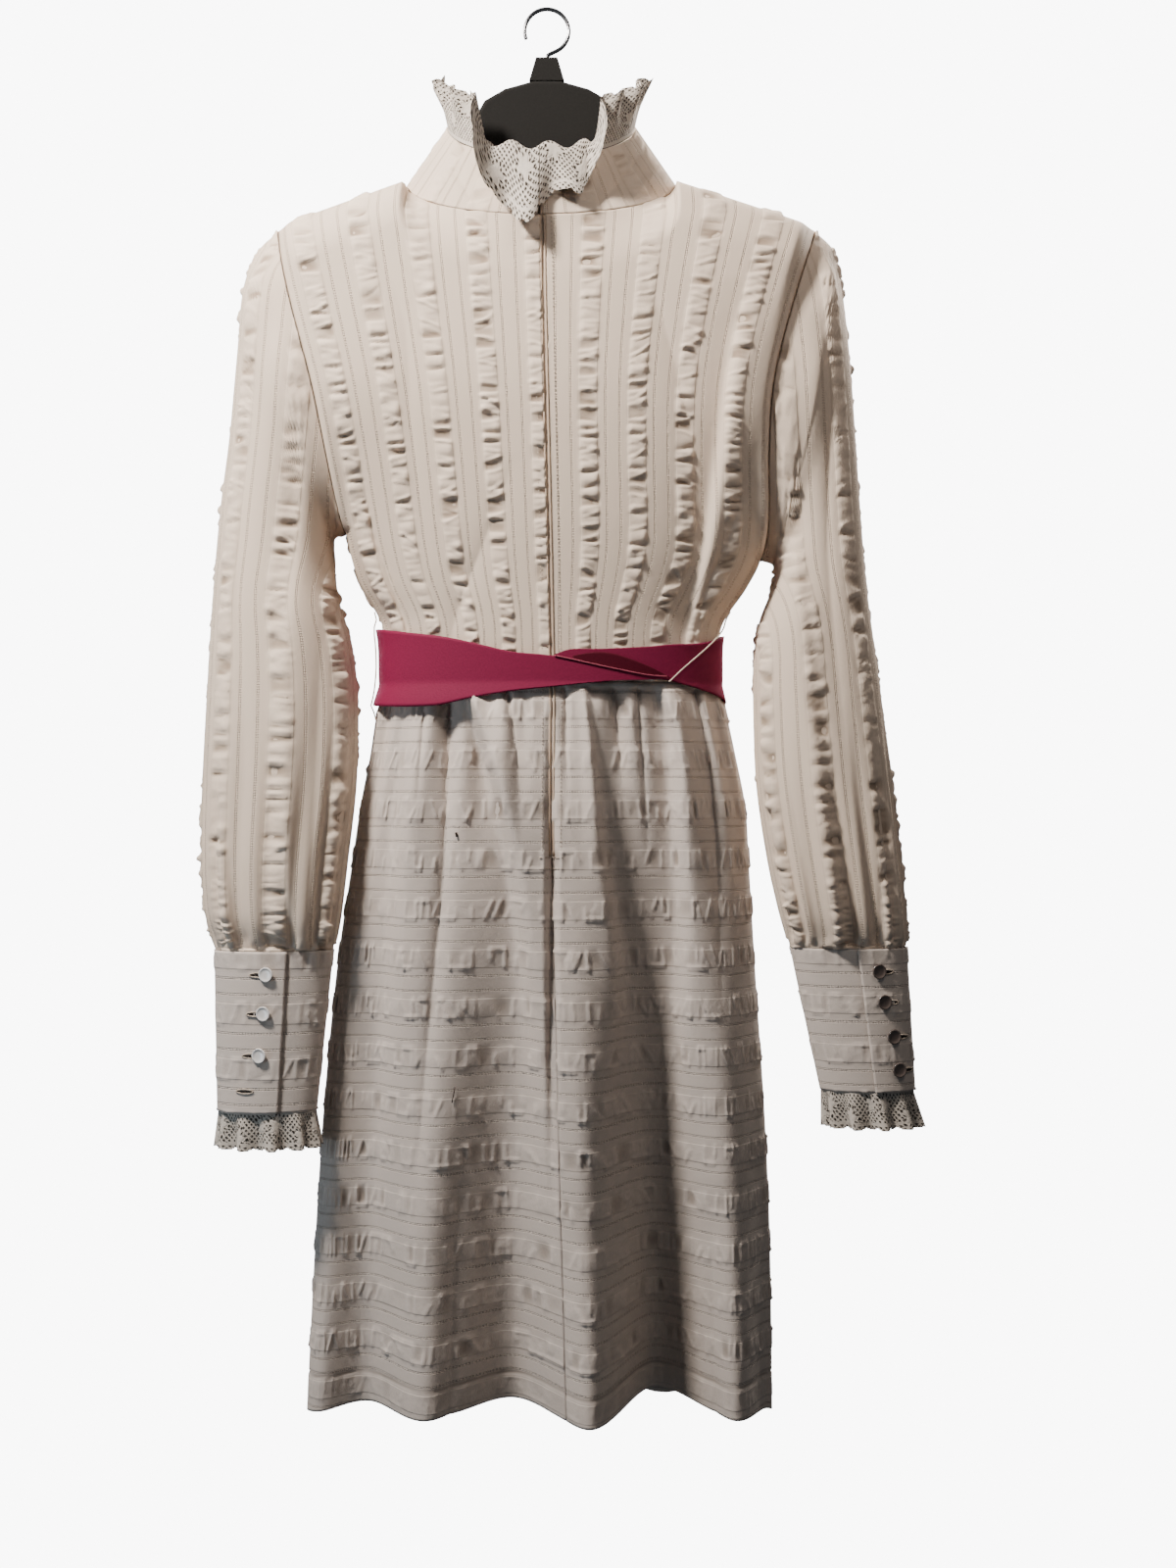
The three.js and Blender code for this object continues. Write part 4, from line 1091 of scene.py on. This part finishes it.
def back_point(x, drop, off=0.6):
    """A point on the back of the dress, a little outside the cloth."""
    drop = np.asarray(drop, float)
    top = drop < WAIST_DROP
    size = [np.where(top, bodice_size(k, drop), skirt_size(k, drop)) for k in ("left", "right")]
    middle = centre_back("x", drop)
    half = np.where(x < middle, size[0] + middle, size[1] - middle)
    angle = np.degrees(np.arcsin(np.clip((x - middle) / half, -1, 1)))
    on_bodice = bodice_point(angle, np.minimum(drop, WAIST_DROP))
    p = np.where(top[..., None], on_bodice, skirt_point(angle, drop))
    skirt_out = creased(SKIRT_CREASES, p) * beside_zip(p) * CREASE_DEPTH
    p[..., 1] -= off + np.where(top, creased(BODICE_CREASES, p), skirt_out)
    return p


ZIP_LIP = dict(radius=0.75, off=1.45, proud=0.3, points=140)
ZIP_STITCH = 6.6  # from the zip's middle to the stitches beside it
BAR_TACK = dict(drops=(628, 636), half=9, points=12)


def make_zip():
    drops = np.linspace(SHOULDER_NECK_DROP + NECK["back_dip"] + 1, ZIP_END_DROP, ZIP_LIP["points"])
    for side, name in ((-1, "left"), (1, "right")):
        line = back_point(centre_back("x", drops) + side * ZIP_LIP["off"], drops, ZIP_LIP["proud"])
        dress_up(rod(f"zip_lip_{name}", line, ZIP_LIP["radius"]), ZIP_EDGE, "zip_nylon")
    lines = [back_point(centre_back("x", drops) + side * ZIP_STITCH, drops) for side in (-1, 1)]
    dress_up(stitches("zip_stitches", lines), THREAD, "cotton")
    across = np.linspace(-BAR_TACK["half"], BAR_TACK["half"], BAR_TACK["points"])
    bars = []
    for drop in BAR_TACK["drops"]:
        bars.append(back_point(centre_back("x", drop) + across, np.full_like(across, drop), 0.7))
    dress_up(stitches("zip_bar_tacks", bars, 2.4, 0.4, 0.5), THREAD, "cotton")


def lathe(name, profile, sides, place, away):
    """A turned form of (radius, height) rows, standing on place and facing away."""
    away = unit(np.array(away))
    side = unit(np.cross(away, [0.0, 0.0, 1.0]))
    up = np.cross(side, away)
    x, y = circle(sides)
    ring = np.outer(x, side) + np.outer(y, up)
    rows = [place + away * height + ring * radius for radius, height in profile]
    return link_mesh(name, np.concatenate(rows), tube(len(profile), sides))


BUTTON_PROFILE = [
    (0.3, 0.0), (3.4, 0.0), (4.9, 0.4), (5.4, 0.9), (5.3, 1.4), (4.9, 1.75), (4.4, 1.6), (3.9, 1.25),
    (2.8, 1.05), (1.6, 1.0), (0.3, 1.0),
]
BUTTON_AWAY = {"left": (-0.25, -1.0, 0.0), "right": (0.3, -1.0, 0.0)}
# The right buttons take a darker copy of the pearl, as painted shade.
BUTTON_PEARL = {"left": PEARL, "right": PEARL_PAINTED_SHADE}
BUTTON_HALF = 1.1  # from a button's middle to its back


def button_places():
    """The name, side and middle of each button."""
    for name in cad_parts:
        if name.startswith("button"):
            low, high = (np.array(p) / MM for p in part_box(name))
            yield name, name.split("_")[1], (low + high) / 2


def make_buttons():
    for name, side, middle in button_places():
        away = BUTTON_AWAY[side]
        place = middle - unit(np.array(away)) * BUTTON_HALF
        piece = lathe(f"{name}_turned", BUTTON_PROFILE, 32, place, away)
        dress_up(piece, BUTTON_PEARL[side], "pearl", name)


# Buttonholes: how far across and below its button the slit is, and the slit of the lost button
BUTTONHOLE_OFF = {"left": (-5.0, 0.5), "right": (3.0, 0.5)}
EMPTY_BUTTONHOLE = (-213.5, 796.0)
BUTTONHOLE = dict(points=28, half=5.2, high=1.6, slit_high=0.7, thread=0.5, proud=0.35)


def make_buttonhole(name, side, x, drop):
    cos, sin = circle(BUTTONHOLE["points"])
    top, bottom = CUFFS[side]["top"], CUFFS[side]["bottom"]
    v = (bottom[2] - drop) / (bottom[2] - top[2])
    across = x + BUTTONHOLE["half"] * cos * (1 + 0.1 * cos ** 2) - lerp(bottom[0], top[0], v)
    angle = np.degrees(np.arcsin(np.clip(across / lerp(bottom[1], top[1], v), -1, 1)))
    centre, out = cuff_ring(side, angle, np.full_like(angle, v))
    rim = centre + out + unit(out) * (CUFF["lift"] + BUTTONHOLE["proud"])
    rim[:, 2] = -drop + BUTTONHOLE["high"] * sin
    dress_up(rod(name, rim, BUTTONHOLE["thread"], 6, True), THREAD, "cotton")
    # A flat near-black face in the slit, as painted shade.
    slit = rim - [0, 0.1, 0]
    slit[:, 2] = -drop + BUTTONHOLE["slit_high"] * sin
    dress_up(link_mesh(f"{name}_slit", slit, [list(range(len(slit)))]), PAINTED_SHADE_AND_DARK_MARKS, "cotton")


def make_buttonholes():
    for name, side, middle in button_places():
        across, below = BUTTONHOLE_OFF[side]
        make_buttonhole(f"{name}_hole", side, middle[0] + across, below - middle[2])
    make_buttonhole("buttonhole_empty", "left", *EMPTY_BUTTONHOLE)


REVERSE_OFF = 4.9  # from the dress's outline
SASH_EDGE_OFF = 6.0


def make_sash_fold():
    """The ribbon's reverse, seen where its two runs cross, in a darker copy of the satin as painted shade,
    and a lighter satin rod along the left run's top edge as a painted highlight.
    """
    top = Table("angle drop", [(7, 485), (14, 482.5), (20, 483), (27, 487), (35, 493), (43, 500)])
    low = Table("angle drop", [(7, 488), (14, 491.5), (20, 494), (27, 496.5), (35, 499), (43, 500.5)])

    def at(u, v):
        angle = lerp(top.rows[0, 0], top.rows[-1, 0], u)
        return off_ring(angle, lerp(low("drop", angle), top("drop", angle), v), REVERSE_OFF)

    piece = shell("sash_reverse", 60, 9, at, 0.4)
    dress_up(piece, SATIN_PAINTED_SHADE, "satin")
    # A lighter satin rod along the top edge, as a painted highlight.
    angle = np.linspace(1, 41, 60)
    edge = off_ring(angle, RIBBON_EDGES["left"]("top", angle) - 0.3, SASH_EDGE_OFF)
    dress_up(rod("sash_edge_painted_highlight", edge, 0.4, 6), SATIN_PAINTED_HIGHLIGHT, "satin")


# Two marks on the left of the skirt: x and drop from end to end, and their thickness
STRAYS = [((-63.4, 610.5), (-62.8, 613.5), 0.8), ((-64.5, 793), (-66.6, 804), 0.35)]


def make_strays():
    for number, (top, low, thick) in enumerate(STRAYS, 1):
        ends = np.array([top, low])
        line = back_point(ends[:, 0], ends[:, 1], 1.2)
        dress_up(rod(f"stray_thread_{number}", line, thick, 6), PAINTED_SHADE_AND_DARK_MARKS, "cotton")


def paint_kept_nodes():
    finishes = {"hanger_hook": STEEL, "hanger_size_tab": BLACK, "hanger_body": BLACK, "zip_tape": ZIP,
                "zip_coil": ZIP, "zip_slider": STEEL, "belt_loop_left": COTTON, "belt_loop_right": COTTON}
    for name, material in finishes.items():
        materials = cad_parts[name].data.materials
        materials.clear()
        materials.append(material)


# Stage: a round floor and wall, white to the camera and a dim fill to the dress
STAGE = dict(reach=9000, floor=-1250, turn=2000, top=9000, sides=48)
FILL = dict(tone=(0.84, 0.92, 1, 1), strength=0.08)
WHITE = 9.0


def stage_material():
    material = bpy.data.materials.new("stage")
    material.use_nodes = True
    nodes, links = material.node_tree.nodes, material.node_tree.links
    nodes.clear()
    seen = nodes.new("ShaderNodeLightPath")
    white = nodes.new("ShaderNodeEmission")
    white.inputs["Strength"].default_value = WHITE
    dim = nodes.new("ShaderNodeEmission")
    dim.inputs["Color"].default_value = FILL["tone"]
    dim.inputs["Strength"].default_value = FILL["strength"]
    both = nodes.new("ShaderNodeMixShader")
    out = nodes.new("ShaderNodeOutputMaterial")
    links.new(seen.outputs["Is Camera Ray"], both.inputs[0])
    links.new(dim.outputs[0], both.inputs[1])
    links.new(white.outputs[0], both.inputs[2])
    links.new(both.outputs[0], out.inputs["Surface"])
    return material


def make_stage():
    reach, floor_z, turn, top, sides = STAGE.values()
    profile = [(reach - turn, floor_z)]
    for a in np.radians(np.linspace(10, 90, 9)):
        profile.append((reach - turn + turn * math.sin(a), floor_z + turn - turn * math.cos(a)))
    profile.append((reach, top))
    verts = [(r * x, r * y, z) for r, z in profile for x, y in zip(*circle(sides))]
    faces = [list(range(sides))] + quads(sides, len(profile) - 1, sides, flip=True)
    backdrop = link_mesh("backdrop", verts, faces)
    backdrop.data.materials.append(stage_material())


def area_light(name, place, aim, size, power, colour):
    data = bpy.data.lights.new(name, "AREA")
    data.size = size
    data.energy = power
    data.color = colour
    light = bpy.data.objects.new(name, data)
    light.location = place
    way = np.array(aim) - np.array(place)
    tilt = math.atan2(math.hypot(way[0], way[1]), -way[2])
    light.rotation_euler = (tilt, 0, math.atan2(way[1], way[0]) - math.pi / 2)
    bpy.context.scene.collection.objects.link(light)


def make_light():
    world = bpy.data.worlds.new("world")
    world.use_nodes = True
    background = world.node_tree.nodes["Background"]
    background.inputs[0].default_value = FILL["tone"]
    background.inputs[1].default_value = FILL["strength"]
    bpy.context.scene.world = world
    area_light("key", (-0.6, -0.53, 0.42), (0.02, -0.05, -0.35), 0.18, 39, (1.0, 0.95, 0.89))
    area_light("window", (-0.8, -0.5, -0.85), (-0.2, -0.05, -0.75), 0.3, 1.7, (0.66, 0.84, 1.0))
    area_light("warm", (0.46, -0.6, 0.4), (0.05, 0, -0.3), 0.35, 3.2, (1.0, 0.9, 0.82))
    area_light("far_key", (0.6, 0.62, 0.3), (0, 0.05, -0.4), 0.3, 30, (1.0, 0.95, 0.89))
    area_light("far_fill", (-0.7, 0.8, -0.2), (0, 0.05, -0.6), 0.5, 6, (0.8, 0.9, 1.0))


make_bodice()
make_skirt()
make_collar()
make_lace()
make_sleeves()
make_sash()
make_sash_fold()
make_strays()
make_zip()
make_buttons()
make_buttonholes()
paint_kept_nodes()
make_stage()
make_light()
